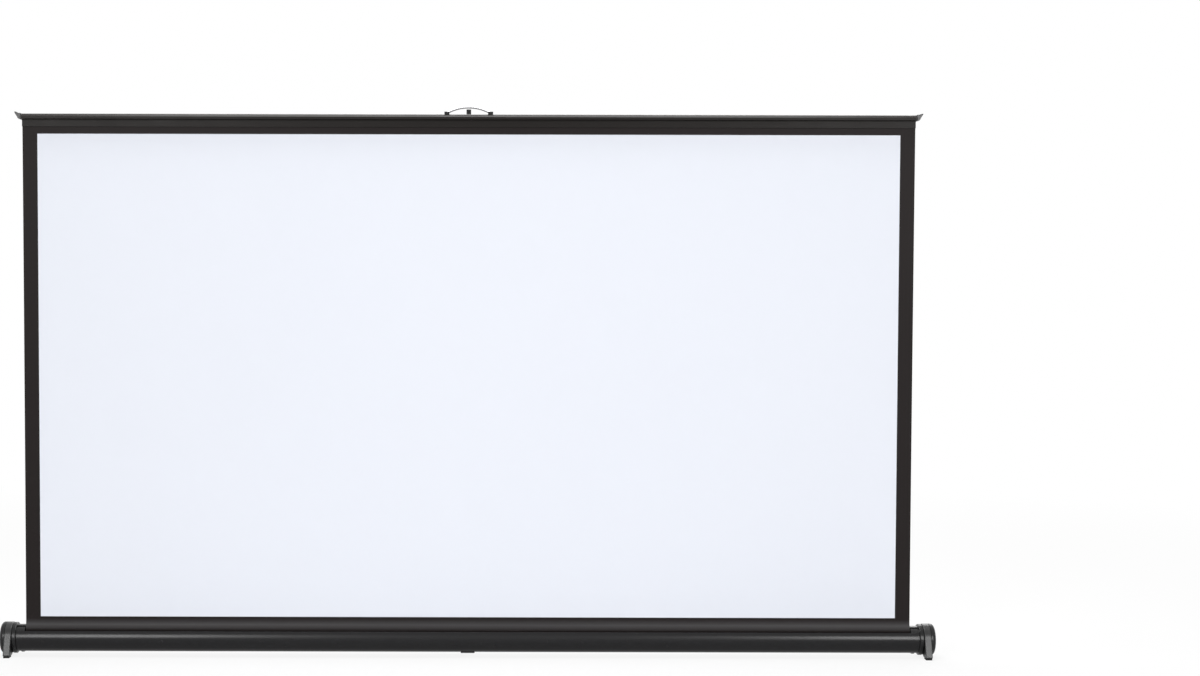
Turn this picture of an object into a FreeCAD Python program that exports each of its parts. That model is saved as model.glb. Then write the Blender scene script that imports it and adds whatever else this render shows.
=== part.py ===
import FreeCAD, Part
import math
import os
import re

import Sketcher
from FreeCAD import Placement, Rotation, Vector

# A portable pull-up projection screen: a slotted tube with two feet holds a spring roller,
# and a folding diamond of four arms behind the fabric carries the top bar.
# X runs along the tube, the fabric faces -Y, and the feet stand on Z = 0.

SIZES = {
    # viewing surface and its fabric
    "view_width": 1107,
    "view_height": 623,
    "side_border": 19,
    "top_border": 9,
    "bottom_border": 17.5,
    "fabric_thick": 0.5,
    "fabric_plane": 9,
    # casing tube
    "tube_radius": 17.5,
    "tube_lift": 5,
    "tube_wall": 1.4,
    "tube_end_room": 12,
    "slot_inset": 4.3,
    "slot_rear": 5,
    "slot_lip_round": 0.5,
    # end caps
    "spigot_length": 10.5,
    "spigot_wall": 1.8,
    "collar_over": 2.5,
    "collar_length": 5.5,
    "collar_round": 1.2,
    "stub_radius": 9,
    "boss_radius": 6,
    "boss_length": 8,
    "pin_seat_depth": 3,
    "stem_radius": 4,
    "stem_length": 5,
    "seat_clearance": 0.05,
    # feet and their pads
    "foot_thick": 9,
    "foot_hub_over": 3,
    "foot_flare_angle": 20,
    "foot_arch_half": 14,
    "foot_arch_rise": 5,
    "foot_toe_round": 1.6,
    "foot_edge_round": 1,
    "pad_thick": 2,
    "pad_inner": 16,
    "pad_toe_margin": 1.6,
    "pad_side_margin": 0.6,
    # end discs
    "disc_over": 3,
    "disc_thick": 6.4,
    "disc_rim": 6.5,
    "disc_dish": 1.2,
    "disc_round": 4.4,
    # screws that hold the tube on the end caps
    "cap_screw_radius": 1.4,
    "cap_screw_head_radius": 2.6,
    "cap_screw_head": 1.2,
    "cap_screw_inset": 6,
    # roller, its pins and its spring
    "core_radius": 8,
    "core_wall": 0.8,
    "core_overhang": 2,
    "wrap_gap": 0.05,
    "pivot_pin_radius": 2.5,
    "running_clearance": 0.05,
    "plug_length": 12,
    "plug_flange": 1.5,
    "spring_seat_length": 14,
    "spring_seat_gap": 0.1,
    "spring_start": 2,
    "spring_pitch": 6.5,
    "spring_wire": 1.6,
    "spring_coil_radius": 5.2,
    "anchor_length": 16,
    "anchor_nose": 12,
    "anchor_gap": 0.3,
    # top bar
    "stem_height": 9.5,
    "stem_thick": 4.4,
    "slit_clearance": 0.15,
    "head_width": 18,
    "head_side": 3,
    "head_rise": 4,
    "channel_radius": 2,
    "channel_rise": 2.3,
    "spline_radius": 1.6,
    "spline_gap": 0.1,
    "cavity_inner": 4.4,
    "cavity_outer": 7.6,
    "cavity_floor": 1.4,
    "cavity_low": 1.5,
    "cavity_high": 3.1,
    # end caps of the top bar
    "neck_length": 4.5,
    "neck_inset": 0.6,
    "horn_inner": 0.8,
    "horn_foot": 3,
    "horn_reach": 8.8,
    "horn_rise": 2.8,
    "horn_lip": 1,
    "horn_drop": 0.4,
    "horn_proud": 0.8,
    "horn_round": 0.4,
    # folding arms
    "pivot_half": 42,
    "arm_lean": 30,
    "arm_half_width": 5,
    "arm_thick": 4,
    "arm_edge_round": 0.6,
    "arm_gap": 0.5,
    "plate_gap": 0.3,
    "base_pivot_rise": 7,
    "top_pivot_rise": 0.5,
    "pivot_radius": 3,
    "pivot_head_radius": 5,
    "pivot_head": 1.2,
    "flare_radius": 4.2,
    "flare_depth": 1.4,
    "open_pivot_clearance": 0.15,
    # knees of the arms
    "washer_radius": 6,
    "washer_gap": 0.05,
    "knee_wire": 1.2,
    "knee_pitch": 1.8,
    "knee_wire_gap": 0.1,
    "knee_leg": 20,
    "knee_hook": 3.6,
    "knee_tang": 3,
    "knee_tang_bend": 1.4,
    "knee_bend": 2.4,
    "knee_boss_gap": 0.3,
    "knee_boss_room": 0.3,
    "knee_cap_proud": 1.2,
    # base bracket on the tube
    "bracket_margin": 12,
    "plate_thick": 2,
    "base_plate_front": 2.5,
    "base_plate_over": 6,
    "base_plate_round": 5,
    "saddle_thick": 1.5,
    "saddle_low": 4,
    "strap_half": 9,
    "strap_front": 7,
    "catch_half": 6,
    "catch_thick": 1.8,
    "catch_gap": 0.3,
    "rivet_radius": 1.6,
    "rivet_head_radius": 3,
    "rivet_head": 1.1,
    "rivet_angle": 52,
    "rivet_inner": 22,
    "rivet_margin": 8,
    # bracket under the top bar
    "web_gap": 0.4,
    "rear_plate_drop": 6.5,
    "rear_plate_round": 4,
    "front_plate_lift": 0.5,
    "bend_round": 1.5,
    "bar_screw_radius": 1.5,
    "bar_screw_head_radius": 3,
    "bar_screw_head": 1.4,
    "bar_screw_inset": 8,
    # carrying handle
    "handle_half": 28,
    "handle_wire_radius": 1.4,
    "handle_gap": 7.6,
    "lug_half": 3.2,
    "lug_depth": 8,
    "lug_height": 3.2,
    # latch that keeps the closed screen shut
    "latch_half": 3,
    "latch_thick": 3,
    "latch_stand_off": 1.9,
    "latch_pivot_rise": 4.5,
    "latch_pin_radius": 1.5,
    "latch_pin_head": 2.4,
    "latch_pin_head_thick": 1,
    "latch_top_rise": 9,
    "latch_tab_lean": 1.5,
    "latch_nose": 2.3,
    "latch_nose_height": 2.7,
    "latch_drop": 13,
    "latch_side_gap": 0.3,
    "ear_thick": 2,
    "ear_height": 3.3,
    # how far every cut runs past the metal
    "overrun": 2,
}

# Sizes that keep a named margin to another size
FOLLOWING = {
    "axis_height": "tube_radius + tube_lift",
    "slot_front": "tube_radius - slot_inset",
    "collar_radius": "tube_radius + collar_over",
    "foot_hub_radius": "tube_radius + foot_hub_over",
    "disc_radius": "tube_radius + disc_over",
    "bracket_half": "pivot_half + bracket_margin",
    "rivet_outer": "bracket_half - rivet_margin",
    "bar_screw_spacing": "pivot_half - bar_screw_inset",
}

spring_turns = 24
knee_full_turns = 2

doc = FreeCAD.newDocument("projection_screen")
sheet = doc.addObject("Spreadsheet::Sheet", "Sizes")
entries = {**SIZES, **{alias: f"={text}" for alias, text in FOLLOWING.items()}}
for row, (alias, entry) in enumerate(entries.items(), start=1):
    sheet.set(f"A{row}", alias)
    sheet.set(f"B{row}", str(entry))
    sheet.setAlias(f"B{row}", alias)
doc.recompute()

# Places and lengths that follow from the driving sizes
fabric_width = "(view_width + 2 * side_border)"
tube_length = f"({fabric_width} + 2 * tube_end_room)"
tube_inner = "(tube_radius - tube_wall)"
tube_top = "(axis_height + tube_radius)"
lip_height = "(axis_height + sqrt(tube_radius ^ 2 - slot_front ^ 2))"
bar_bottom = f"({lip_height} + bottom_border + view_height + top_border)"
head_bottom = f"({bar_bottom} + stem_height)"
bar_top = f"({head_bottom} + head_side + head_rise)"
arch_radius = "(((head_width / 2) ^ 2 + head_rise ^ 2) / (2 * head_rise))"
arch_centre = f"({bar_top} - {arch_radius})"
channel_height = f"({head_bottom} + channel_rise)"
base_pivot = f"({tube_top} + base_pivot_rise)"
top_pivot = f"({bar_bottom} + top_pivot_rise)"
arm_length = f"(({top_pivot} - {base_pivot}) / (2 * cos(arm_lean)))"
knee_x = f"(pivot_half + {arm_length} * sin(arm_lean))"
knee_z = f"(({top_pivot} + {base_pivot}) / 2)"
base_plate_back = "(base_plate_front + plate_thick)"
lower_front = f"({base_plate_back} + plate_gap)"
lower_back = f"({lower_front} + arm_thick)"
upper_front = f"({lower_back} + arm_gap)"
upper_back = f"({upper_front} + arm_thick)"
rear_plate_front = f"({upper_back} + plate_gap)"
rear_plate_back = f"({rear_plate_front} + plate_thick)"
web_top = f"({head_bottom} - web_gap)"
web_bottom = f"({web_top} - plate_thick)"
stem_back = "(stem_thick / 2 - fabric_plane)"
latch_front = f"({rear_plate_back} + latch_stand_off)"
latch_back = f"({latch_front} + latch_thick)"
latch_pivot_y = f"(({latch_front} + {latch_back}) / 2)"
latch_pivot_z = f"({bar_bottom} + latch_pivot_rise)"
latch_foot = f"({bar_bottom} - latch_drop)"
ear_outer = "(latch_half + latch_side_gap + ear_thick)"
foot_tip = (
    "(foot_hub_radius * cos(foot_flare_angle)"
    " + (axis_height + foot_hub_radius * sin(foot_flare_angle) - pad_thick) * tan(foot_flare_angle))"
)
disc_start = "(collar_length + foot_thick)"
knee_coil_radius = "(arm_half_width + knee_wire_gap + knee_wire / 2)"
knee_boss_radius = f"({knee_coil_radius} - knee_wire / 2 - knee_boss_gap)"
knee_spring_front = f"({upper_back} + knee_boss_room + knee_wire / 2)"


def bound(text):
    """Point every size name in the text at its sheet cell."""
    return re.sub(r"[a-z_]+", lambda m: f"Sizes.{m[0]}" if m[0] in entries else m[0], text)


def value(text):
    """The number that a text of size names stands for."""
    return float(sheet.evalExpression(bound(text)))


def bind(thing, prop, text):
    thing.setExpression(prop, bound(text))


def place(thing, x="0", y="0", z="0", turn=None):
    """Put a finished piece at a place that follows the sheet, turned by a fixed rotation."""
    thing.Placement = Placement(Vector(), turn or Rotation())
    for letter, text in zip("xyz", (x, y, z)):
        if text != "0":
            bind(thing, f"Placement.Base.{letter}", text)
    return thing


along_x = Rotation(Vector(0, 1, 0), 90)
along_y = Rotation(Vector(1, 0, 0), -90)
half_turn = Rotation(Vector(0, 0, 1), 180)
unturned = Rotation()


def box(name, x, y, z):
    """A block between pairs of places along each axis."""
    block = doc.addObject("Part::Box", name)
    for prop, (low, high) in zip(("Length", "Width", "Height"), (x, y, z)):
        bind(block, prop, f"({high}) - ({low})")
    return place(block, x[0], y[0], z[0])


def rod(name, radius, span, x="0", y="0", z="0", turn=unturned):
    """A round bar that starts at a place and runs along its turned Z axis."""
    bar = doc.addObject("Part::Cylinder", name)
    bind(bar, "Radius", radius)
    bind(bar, "Height", span)
    return place(bar, x, y, z, turn)


def joined(name, *pieces):
    whole = doc.addObject("Part::MultiFuse", name)
    whole.Shapes = list(pieces)
    return whole


def cut(name, base, *tools):
    trimmed = doc.addObject("Part::Cut", name)
    trimmed.Base = base
    trimmed.Tool = tools[0] if len(tools) == 1 else joined(f"{name}_tools", *tools)
    return trimmed


def group(name, pieces):
    """Identical small pieces that share one node."""
    lot = doc.addObject("Part::Compound", name)
    lot.Links = list(pieces)
    return lot


def body(name):
    return doc.addObject("PartDesign::Body", name)


def sketch(owner, name, plane):
    profile = owner.newObject("Sketcher::SketchObject", name)
    face = next(f for f in owner.Origin.OriginFeatures if f.Role == f"{plane}_Plane")
    profile.AttachmentSupport = [(face, "")]
    profile.MapMode = "FlatFace"
    return profile


def pin_down(profile, edge, spot, x=None, y=None):
    """Hold a sketch point at places that follow the sheet."""
    for kind, axis, text in (("DistanceX", -2, x), ("DistanceY", -1, y)):
        if text is None:
            continue
        if text == "0":
            profile.addConstraint(Sketcher.Constraint("PointOnObject", edge, spot, axis))
            continue
        reach = value(text)
        ends = (edge, spot, -1, 1) if reach < 0 else (-1, 1, edge, spot)
        index = profile.addConstraint(Sketcher.Constraint(kind, *ends, abs(reach)))
        bind(profile, f"Constraints[{index}]", f"-({text})" if reach < 0 else text)


def outline(profile, corners):
    """Closed outline: each corner is (x, y), or (x, y, centre x, centre y, turn) after an arc."""
    spots = [Vector(value(c[0]), value(c[1]), 0) for c in corners]
    edges = []
    for index, corner in enumerate(corners):
        start, end = spots[index - 1], spots[index]
        if len(corner) == 2:
            edges.append((profile.addGeometry(Part.LineSegment(start, end)), 1, 2))
            continue
        middle = Vector(value(corner[2]), value(corner[3]), 0)
        first, last = (start, end) if corner[4] == "left" else (end, start)
        angles = [math.atan2(p.y - middle.y, p.x - middle.x) for p in (first, last)]
        if angles[1] < angles[0]:
            angles[1] += 2 * math.pi
        circle = Part.Circle(middle, Vector(0, 0, 1), (start - middle).Length)
        edge = profile.addGeometry(Part.ArcOfCircle(circle, *angles))
        edges.append((edge, 1, 2) if corner[4] == "left" else (edge, 2, 1))
    for index, (edge, _, end) in enumerate(edges):
        following, start, _ = edges[(index + 1) % len(edges)]
        profile.addConstraint(Sketcher.Constraint("Coincident", edge, end, following, start))
    for (edge, _, end), corner in zip(edges, corners):
        if len(corner) == 2:
            pin_down(profile, edge, end, corner[0], corner[1])
        else:
            pin_down(profile, edge, 3, corner[2], corner[3])
            across = abs(value(f"{corner[0]} - ({corner[2]})"))
            up = abs(value(f"{corner[1]} - ({corner[3]})"))
            steep = across > up
            pin_down(profile, edge, end, None if steep else corner[0], corner[1] if steep else None)


def ring(profile, radius, x="0", y="0"):
    """A circle whose centre and radius follow the sheet."""
    circle = Part.Circle(Vector(value(x), value(y), 0), Vector(0, 0, 1), value(radius))
    edge = profile.addGeometry(circle)
    index = profile.addConstraint(Sketcher.Constraint("Radius", edge, value(radius)))
    bind(profile, f"Constraints[{index}]", radius)
    pin_down(profile, edge, 3, x, y)


def pad(owner, profile, span, backwards=False):
    solid = owner.newObject("PartDesign::Pad", f"{profile.Name}_pad")
    solid.Profile = profile
    solid.Reversed = backwards
    bind(solid, "Length", span)
    doc.recompute()
    return solid


def pocket(owner, profile, span, backwards=False):
    """Cut a profile out of a body, and stop if it met nothing."""
    whole = owner.Shape.Volume
    hollow = owner.newObject("PartDesign::Pocket", f"{profile.Name}_pocket")
    hollow.Profile = profile
    hollow.Reversed = backwards
    bind(hollow, "Length", span)
    doc.recompute()
    if not owner.Shape.Volume < whole:
        raise RuntimeError(f"{hollow.Name} cut nothing")
    return hollow


def rounded(owner, radius, wanted):
    """Round the edges of a body's last feature that a test picks."""
    tip = owner.Tip
    names = [f"Edge{i}" for i, edge in enumerate(tip.Shape.Edges, start=1) if wanted(edge)]
    if not names:
        raise RuntimeError(f"{owner.Label} has no such edge to round")
    fillet = owner.newObject("PartDesign::Fillet", f"{owner.Name}_round_{len(owner.Group)}")
    fillet.Base = (tip, names)
    bind(fillet, "Radius", radius)
    doc.recompute()
    return fillet


def runs_along(edge, axis):
    if not isinstance(edge.Curve, Part.Line):
        return False
    return abs(abs(edge.tangentAt(edge.FirstParameter).dot(axis)) - 1) < 1e-6


def lies_at(edge, **places):
    """Whether an edge's middle is at the given places of the sheet."""
    middle = edge.BoundBox.Center
    return all(abs(getattr(middle, k) - value(t)) < 1e-4 for k, t in places.items())


def turned(name, corners, axis="H_Axis"):
    """A body of revolution: (along, radius) corners about X, or (radius, along) about Y."""
    owner = body(name)
    profile = sketch(owner, f"{name}_section", "XY")
    outline(profile, corners)
    solid = owner.newObject("PartDesign::Revolution", f"{name}_turned")
    solid.Profile = profile
    solid.ReferenceAxis = (profile, [axis])
    doc.recompute()
    return owner


def extruded(name, plane, corners, span, backwards=False):
    owner = body(name)
    profile = sketch(owner, f"{name}_section", plane)
    outline(profile, corners)
    pad(owner, profile, span, backwards)
    return owner


def end_place(side):
    """Where a piece on the left or right end of the tube starts, and how it is turned."""
    sign, turn = ("-", half_turn) if side == "left" else ("", unturned)
    return f"{sign}{tube_length} / 2", turn


def casing_tube():
    tube = body("tube_blank")
    wall = sketch(tube, "tube_wall_section", "YZ")
    ring(wall, "tube_radius", "0", "axis_height")
    ring(wall, tube_inner, "0", "axis_height")
    pad(tube, wall, tube_length)
    slot = sketch(tube, "tube_slot", "YZ")
    slot_top = f"({tube_top} + overrun)"
    outline(
        slot,
        [
            ("-slot_front", "axis_height"),
            ("-slot_rear", "axis_height"),
            ("-slot_rear", slot_top),
            ("-slot_front", slot_top),
        ],
    )
    pocket(tube, slot, tube_length, backwards=True)

    def on_lip(edge):
        middle = edge.BoundBox.Center
        at_lip = min(abs(middle.y + value("slot_front")), abs(middle.y + value("slot_rear"))) < 1e-4
        return runs_along(edge, Vector(1, 0, 0)) and at_lip

    rounded(tube, "slot_lip_round", on_lip)
    place(tube, f"-{tube_length} / 2")
    return cut("casing_tube", tube, *cap_screw_shanks("tube_hole"), *rivet_shanks("tube_hole"))


def cap_screw_places():
    """Each end has one screw behind and one below."""
    for side, sign in (("left", "-"), ("right", "")):
        x = f"{sign}({tube_length} / 2 - cap_screw_inset)"
        yield f"{side}_rear", x, f"{tube_inner} - spigot_wall", "axis_height", along_y
        down = f"axis_height - {tube_inner} + spigot_wall"
        yield f"{side}_low", x, "0", down, Rotation(Vector(1, 0, 0), 180)


def cap_screw_shanks(purpose):
    length = "spigot_wall + tube_wall + overrun"
    return [
        rod(f"{purpose}_{name}", "cap_screw_radius", length, x, y, z, turn)
        for name, x, y, z, turn in cap_screw_places()
    ]


def cap_screws():
    screws = []
    for name, x, y, z, turn in cap_screw_places():
        shank = rod(f"shank_{name}", "cap_screw_radius", "spigot_wall + tube_wall", x, y, z, turn)
        if name.endswith("rear"):
            head_y, head_z = "tube_radius", z
        else:
            head_y, head_z = y, "axis_height - tube_radius"
        size = ("cap_screw_head_radius", "cap_screw_head")
        head = rod(f"head_{name}", *size, x, head_y, head_z, turn)
        screws.append(joined(f"cap_screw_{name}", shank, head))
    return group("cap_screws", screws)


def end_cap(side):
    spigot_outer = f"({tube_inner} - seat_clearance)"
    stub_end = disc_start
    cap = turned(
        f"{side}_cap_blank",
        [
            ("-boss_length", "pivot_pin_radius"),
            ("-boss_length", "boss_radius"),
            ("0", "boss_radius"),
            ("0", f"{tube_inner} - spigot_wall"),
            ("-spigot_length", f"{tube_inner} - spigot_wall"),
            ("-spigot_length", spigot_outer),
            ("0", spigot_outer),
            ("0", "collar_radius"),
            ("collar_length", "collar_radius"),
            ("collar_length", "stub_radius"),
            (stub_end, "stub_radius"),
            (stub_end, "stem_radius"),
            (f"{stub_end} - stem_length", "stem_radius"),
            (f"{stub_end} - stem_length", "0"),
            ("pin_seat_depth", "0"),
            ("pin_seat_depth", "pivot_pin_radius"),
        ],
    )
    rounded(cap, "collar_round", lambda e: abs(e.BoundBox.YLength - 2 * value("collar_radius")) < 1e-3)
    x, turn = end_place(side)
    place(cap, x, "0", "axis_height", turn)
    holes = [s for s in cap_screw_shanks(f"{side}_cap_hole") if f"hole_{side}" in s.Name]
    return cut(f"{side}_end_cap", cap, *holes)


def foot(side):
    hub_y = "foot_hub_radius * cos(foot_flare_angle)"
    hub_z = "axis_height + foot_hub_radius * sin(foot_flare_angle)"
    foot_arch_radius = "((foot_arch_half ^ 2 + foot_arch_rise ^ 2) / (2 * foot_arch_rise))"
    arch_centre_z = f"(pad_thick + foot_arch_rise - {foot_arch_radius})"
    leg = extruded(
        f"{side}_foot",
        "YZ",
        [
            (hub_y, hub_z),
            (f"-{hub_y}", hub_z, "0", "axis_height", "left"),
            (f"-{foot_tip}", "pad_thick"),
            ("-foot_arch_half", "pad_thick"),
            ("foot_arch_half", "pad_thick", "0", arch_centre_z, "right"),
            (foot_tip, "pad_thick"),
        ],
        "foot_thick",
    )
    bore = sketch(leg, f"{side}_foot_bore", "YZ")
    ring(bore, "stub_radius + seat_clearance", "0", "axis_height")
    pocket(leg, bore, "foot_thick", backwards=True)
    reach = value(foot_tip)
    rounded(
        leg,
        "foot_toe_round",
        lambda e: runs_along(e, Vector(1, 0, 0)) and abs(abs(e.BoundBox.Center.y) - reach) < 1e-4,
    )
    hub_width = 2 * value("foot_hub_radius")
    rounded(
        leg,
        "foot_edge_round",
        lambda e: isinstance(e.Curve, Part.Circle) and abs(2 * e.Curve.Radius - hub_width) < 1e-4,
    )
    x, turn = end_place(side)
    step = "- collar_length" if side == "left" else "+ collar_length"
    return place(leg, f"{x} {step}", "0", "0", turn)


def foot_pads():
    """Soft blocks under each toe, on which the screen stands."""
    pads = []
    for side, sign in (("left", "-"), ("right", "")):
        near = f"({tube_length} / 2 + collar_length + pad_side_margin)"
        far = f"({tube_length} / 2 + {disc_start} - pad_side_margin)"
        x = (near, far) if side == "right" else (f"-{far}", f"-{near}")
        inner, outer = "pad_inner", f"({foot_tip} - pad_toe_margin)"
        for name, y in (("front", (f"-{outer}", f"-{inner}")), ("rear", (inner, outer))):
            pads.append(box(f"{side}_{name}_pad", x, y, ("0", "pad_thick")))
    return group("foot_pads", pads)


def end_disc(side):
    face = "disc_thick - disc_dish"
    rim = "disc_radius - disc_rim"
    disc = turned(
        f"{side}_end_disc",
        [
            ("-stem_length", "0"),
            ("-stem_length", "stem_radius"),
            ("0", "stem_radius"),
            ("0", "disc_radius"),
            ("disc_thick", "disc_radius"),
            ("disc_thick", rim),
            (face, f"{rim} - disc_dish"),
            (face, "0"),
        ],
    )
    edge_width = 2 * value("disc_radius")
    rounded(
        disc,
        "disc_round",
        lambda e: abs(e.BoundBox.YLength - edge_width) < 1e-3 and lies_at(e, x="disc_thick"),
    )
    x, turn = end_place(side)
    step = f"- {disc_start}" if side == "left" else f"+ {disc_start}"
    return place(disc, f"{x} {step}", "0", "axis_height", turn)


roller_half = f"({fabric_width} / 2 + core_overhang)"
core_bore = "(core_radius - core_wall)"
pin_bore = "(pivot_pin_radius + running_clearance)"
spring_from = f"(-{roller_half} + plug_length + spring_start)"
spring_to = f"({spring_from} + {spring_turns} * spring_pitch)"
anchor_start = f"({spring_to} - anchor_nose + spring_start)"
coil_bore = "(spring_coil_radius - spring_wire / 2)"


def roller_tube():
    tube = body("roller_tube")
    wall = sketch(tube, "roller_wall", "YZ")
    ring(wall, "core_radius")
    ring(wall, core_bore)
    pad(tube, wall, f"2 * {roller_half}")
    return place(tube, f"-{roller_half}", "0", "axis_height")


def fabric_wraps():
    """The turns of fabric that stay on the roller when the screen is up."""
    wraps = body("fabric_wraps")
    layer = sketch(wraps, "wraps_section", "YZ")
    ring(layer, "fabric_plane - fabric_thick / 2 - wrap_gap")
    ring(layer, "core_radius")
    pad(wraps, layer, fabric_width)
    return place(wraps, f"-{fabric_width} / 2", "0", "axis_height")


def roller_plug(side):
    """A bearing plug pressed into the end of the roller."""
    plug = turned(
        f"{side}_roller_plug",
        [
            ("-plug_length", pin_bore),
            ("-plug_length", core_bore),
            ("0", core_bore),
            ("0", "core_radius"),
            ("plug_flange", "core_radius"),
            ("plug_flange", pin_bore),
        ],
    )
    sign, turn = ("-", half_turn) if side == "left" else ("", unturned)
    return place(plug, f"{sign}{roller_half}", "0", "axis_height", turn)


def idle_pin():
    start = f"{roller_half} - plug_length"
    length = f"{tube_length} / 2 + pin_seat_depth - ({start})"
    return rod("idle_pin", "pivot_pin_radius", length, start, "0", "axis_height", along_x)


def spring_shaft():
    """The fixed shaft that the roller turns on at its spring end."""
    seat = f"({coil_bore} - spring_seat_gap)"
    seat_from = f"(-{roller_half} + plug_length + seat_clearance)"
    seat_to = f"({seat_from} + spring_seat_length)"
    first = f"-({tube_length} / 2 + pin_seat_depth)"
    last = f"({anchor_start} + anchor_nose + anchor_length)"
    shaft = turned(
        "spring_shaft",
        [
            (first, "0"),
            (first, "pivot_pin_radius"),
            (seat_from, "pivot_pin_radius"),
            (seat_from, seat),
            (seat_to, seat),
            (seat_to, "pivot_pin_radius"),
            (last, "pivot_pin_radius"),
            (last, "0"),
        ],
    )
    return place(shaft, "0", "0", "axis_height")


def spring_anchor():
    """The plug in the roller that takes the turning end of the spring."""
    nose = f"{coil_bore} - anchor_gap"
    anchor = turned(
        "spring_anchor",
        [
            ("0", pin_bore),
            ("0", nose),
            ("anchor_nose", nose),
            ("anchor_nose", core_bore),
            ("anchor_nose + anchor_length", core_bore),
            ("anchor_nose + anchor_length", pin_bore),
        ],
    )
    return place(anchor, anchor_start, "0", "axis_height")


def arc_from(start, heading, end):
    """The arc that leaves a point along a heading and ends at another point."""
    chord = end - start
    along = chord.normalize() if chord.Length else chord
    reach = (end - start).Length
    side = heading - along * heading.dot(along)
    if side.Length < 1e-9:
        return Part.LineSegment(start, end).toShape()
    lean = math.atan2(side.Length, heading.dot(along))
    crest = (start + end) * 0.5 + side.normalize() * (reach / 2 * math.tan(lean / 2))
    return Part.Arc(start, crest, end).toShape()


def biarc(start, heading, end, arrival):
    """Two arcs that join two points smoothly with given headings."""
    span = end - start
    both = heading + arrival
    spread = 2 * (1 - heading.dot(arrival))
    lead = span.dot(both)
    reach = (math.sqrt(lead ** 2 + spread * span.dot(span)) - lead) / spread
    middle = (start + end + (heading - arrival) * reach) * 0.5
    return [arc_from(start, heading, middle), *reverse_edges([arc_from(end, arrival * -1, middle)])]


def helix_point(radius, pitch, angle, lead_in=0):
    """A point and heading on a coil about X that starts at angle zero."""
    advance = pitch * (angle - lead_in) / (2 * math.pi)
    spot = Vector(advance, radius * math.cos(angle), radius * math.sin(angle))
    heading = Vector(pitch / (2 * math.pi), -radius * math.sin(angle), radius * math.cos(angle))
    return spot, heading.normalize()


def coil_edges(radius, pitch, first, last):
    """Quarter-turn biarcs along a coil about X, from one angle to another."""
    steps = math.ceil((last - first) / (math.pi / 2) - 1e-9)
    knots = [
        helix_point(radius, pitch, first + (last - first) * i / steps, first) for i in range(steps + 1)
    ]
    return [e for a, b in zip(knots, knots[1:]) for e in biarc(*a, *b)]


def wire_solid(edges, thick):
    """A round wire swept along tangent edges."""
    path = Part.Wire(edges)
    heading = edges[0].tangentAt(edges[0].FirstParameter)
    start = edges[0].valueAt(edges[0].FirstParameter)
    section = Part.Wire(Part.Circle(start, heading, thick / 2).toShape())
    return path.makePipeShell([section], True, False), path


def least_gap(name, path, thick):
    """Print the smallest clear gap that a wound wire leaves to itself."""
    step = thick / 4
    spots = path.discretize(Distance=step)
    skip = int(math.pi * 2 * thick / step)
    near = min(
        (a - b).Length for i, a in enumerate(spots) for b in spots[i + skip:i + 12 * skip:2]
    )
    print(f"{name}: least gap to itself {near - thick:.2f} mm")


def roller_spring():
    wire = value("spring_wire")
    edges = coil_edges(value("spring_coil_radius"), value("spring_pitch"), 0, 2 * math.pi * spring_turns)
    solid, path = wire_solid(edges, wire)
    least_gap("roller_spring", path, wire)
    spring = doc.addObject("Part::Feature", "roller_spring")
    spring.Shape = solid
    return place(spring, spring_from, "0", "axis_height")


def screen_fabric():
    half = f"{fabric_width} / 2"
    return box(
        "screen_fabric",
        (f"-{half}", half),
        ("-fabric_plane - fabric_thick / 2", "-fabric_plane + fabric_thick / 2"),
        ("axis_height", f"{channel_height} - spline_radius - spline_gap"),
    )


def fabric_spline():
    """The rod in the fabric's top hem, held in the bar's round channel."""
    place_x = f"-{fabric_width} / 2"
    return rod(
        "fabric_spline", "spline_radius", fabric_width, place_x, "-fabric_plane", channel_height, along_x
    )


def head_outline(grow="0"):
    """The bar's arched head about the fabric plane, grown on every side."""
    half = f"(head_width / 2 + {grow})"
    shoulder = f"(stem_height + head_side + {grow})"
    crown = f"(head_side + head_rise + stem_height + {grow})"
    rise = f"({crown} - {shoulder})"
    centre = f"({crown} - ({half} ^ 2 + {rise} ^ 2) / (2 * {rise}))"
    return half, shoulder, centre


def top_bar():
    bar = body("bar_blank")
    half, shoulder, centre = head_outline()
    stem = "stem_thick / 2"
    section = sketch(bar, "bar_section", "YZ")
    outline(
        section,
        [
            (stem, "0"),
            (stem, "stem_height"),
            (half, "stem_height"),
            (half, shoulder),
            (f"-{half}", shoulder, "0", centre, "left"),
            (f"-{half}", "stem_height"),
            (f"-{stem}", "stem_height"),
            (f"-{stem}", "0"),
        ],
    )
    pad(bar, section, fabric_width)
    channel = sketch(bar, "bar_channel", "YZ")
    ring(channel, "channel_radius", "0", "stem_height + channel_rise")
    pocket(bar, channel, fabric_width, backwards=True)
    slit_half = "(fabric_thick / 2 + slit_clearance)"
    slit = sketch(bar, "bar_slit", "YZ")
    slit_top = "stem_height + channel_rise"
    outline(
        slit,
        [
            (slit_half, "0"),
            (slit_half, slit_top),
            (f"-{slit_half}", slit_top),
            (f"-{slit_half}", "0"),
        ],
    )
    pocket(bar, slit, fabric_width, backwards=True)
    for name, sign in (("front", "-"), ("rear", "")):
        cavity = sketch(bar, f"bar_cavity_{name}", "YZ")
        floor = "stem_height + cavity_floor"
        outline(
            cavity,
            [
                (f"{sign}cavity_inner", floor),
                (f"{sign}cavity_outer", floor),
                (f"{sign}cavity_outer", f"{floor} + cavity_low"),
                (f"{sign}cavity_inner", f"{floor} + cavity_high"),
            ],
        )
        pocket(bar, cavity, fabric_width, backwards=True)
    place(bar, f"-{fabric_width} / 2", "-fabric_plane", bar_bottom)
    return cut("top_bar", bar, *bar_screw_shanks("bar_hole"))


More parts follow.
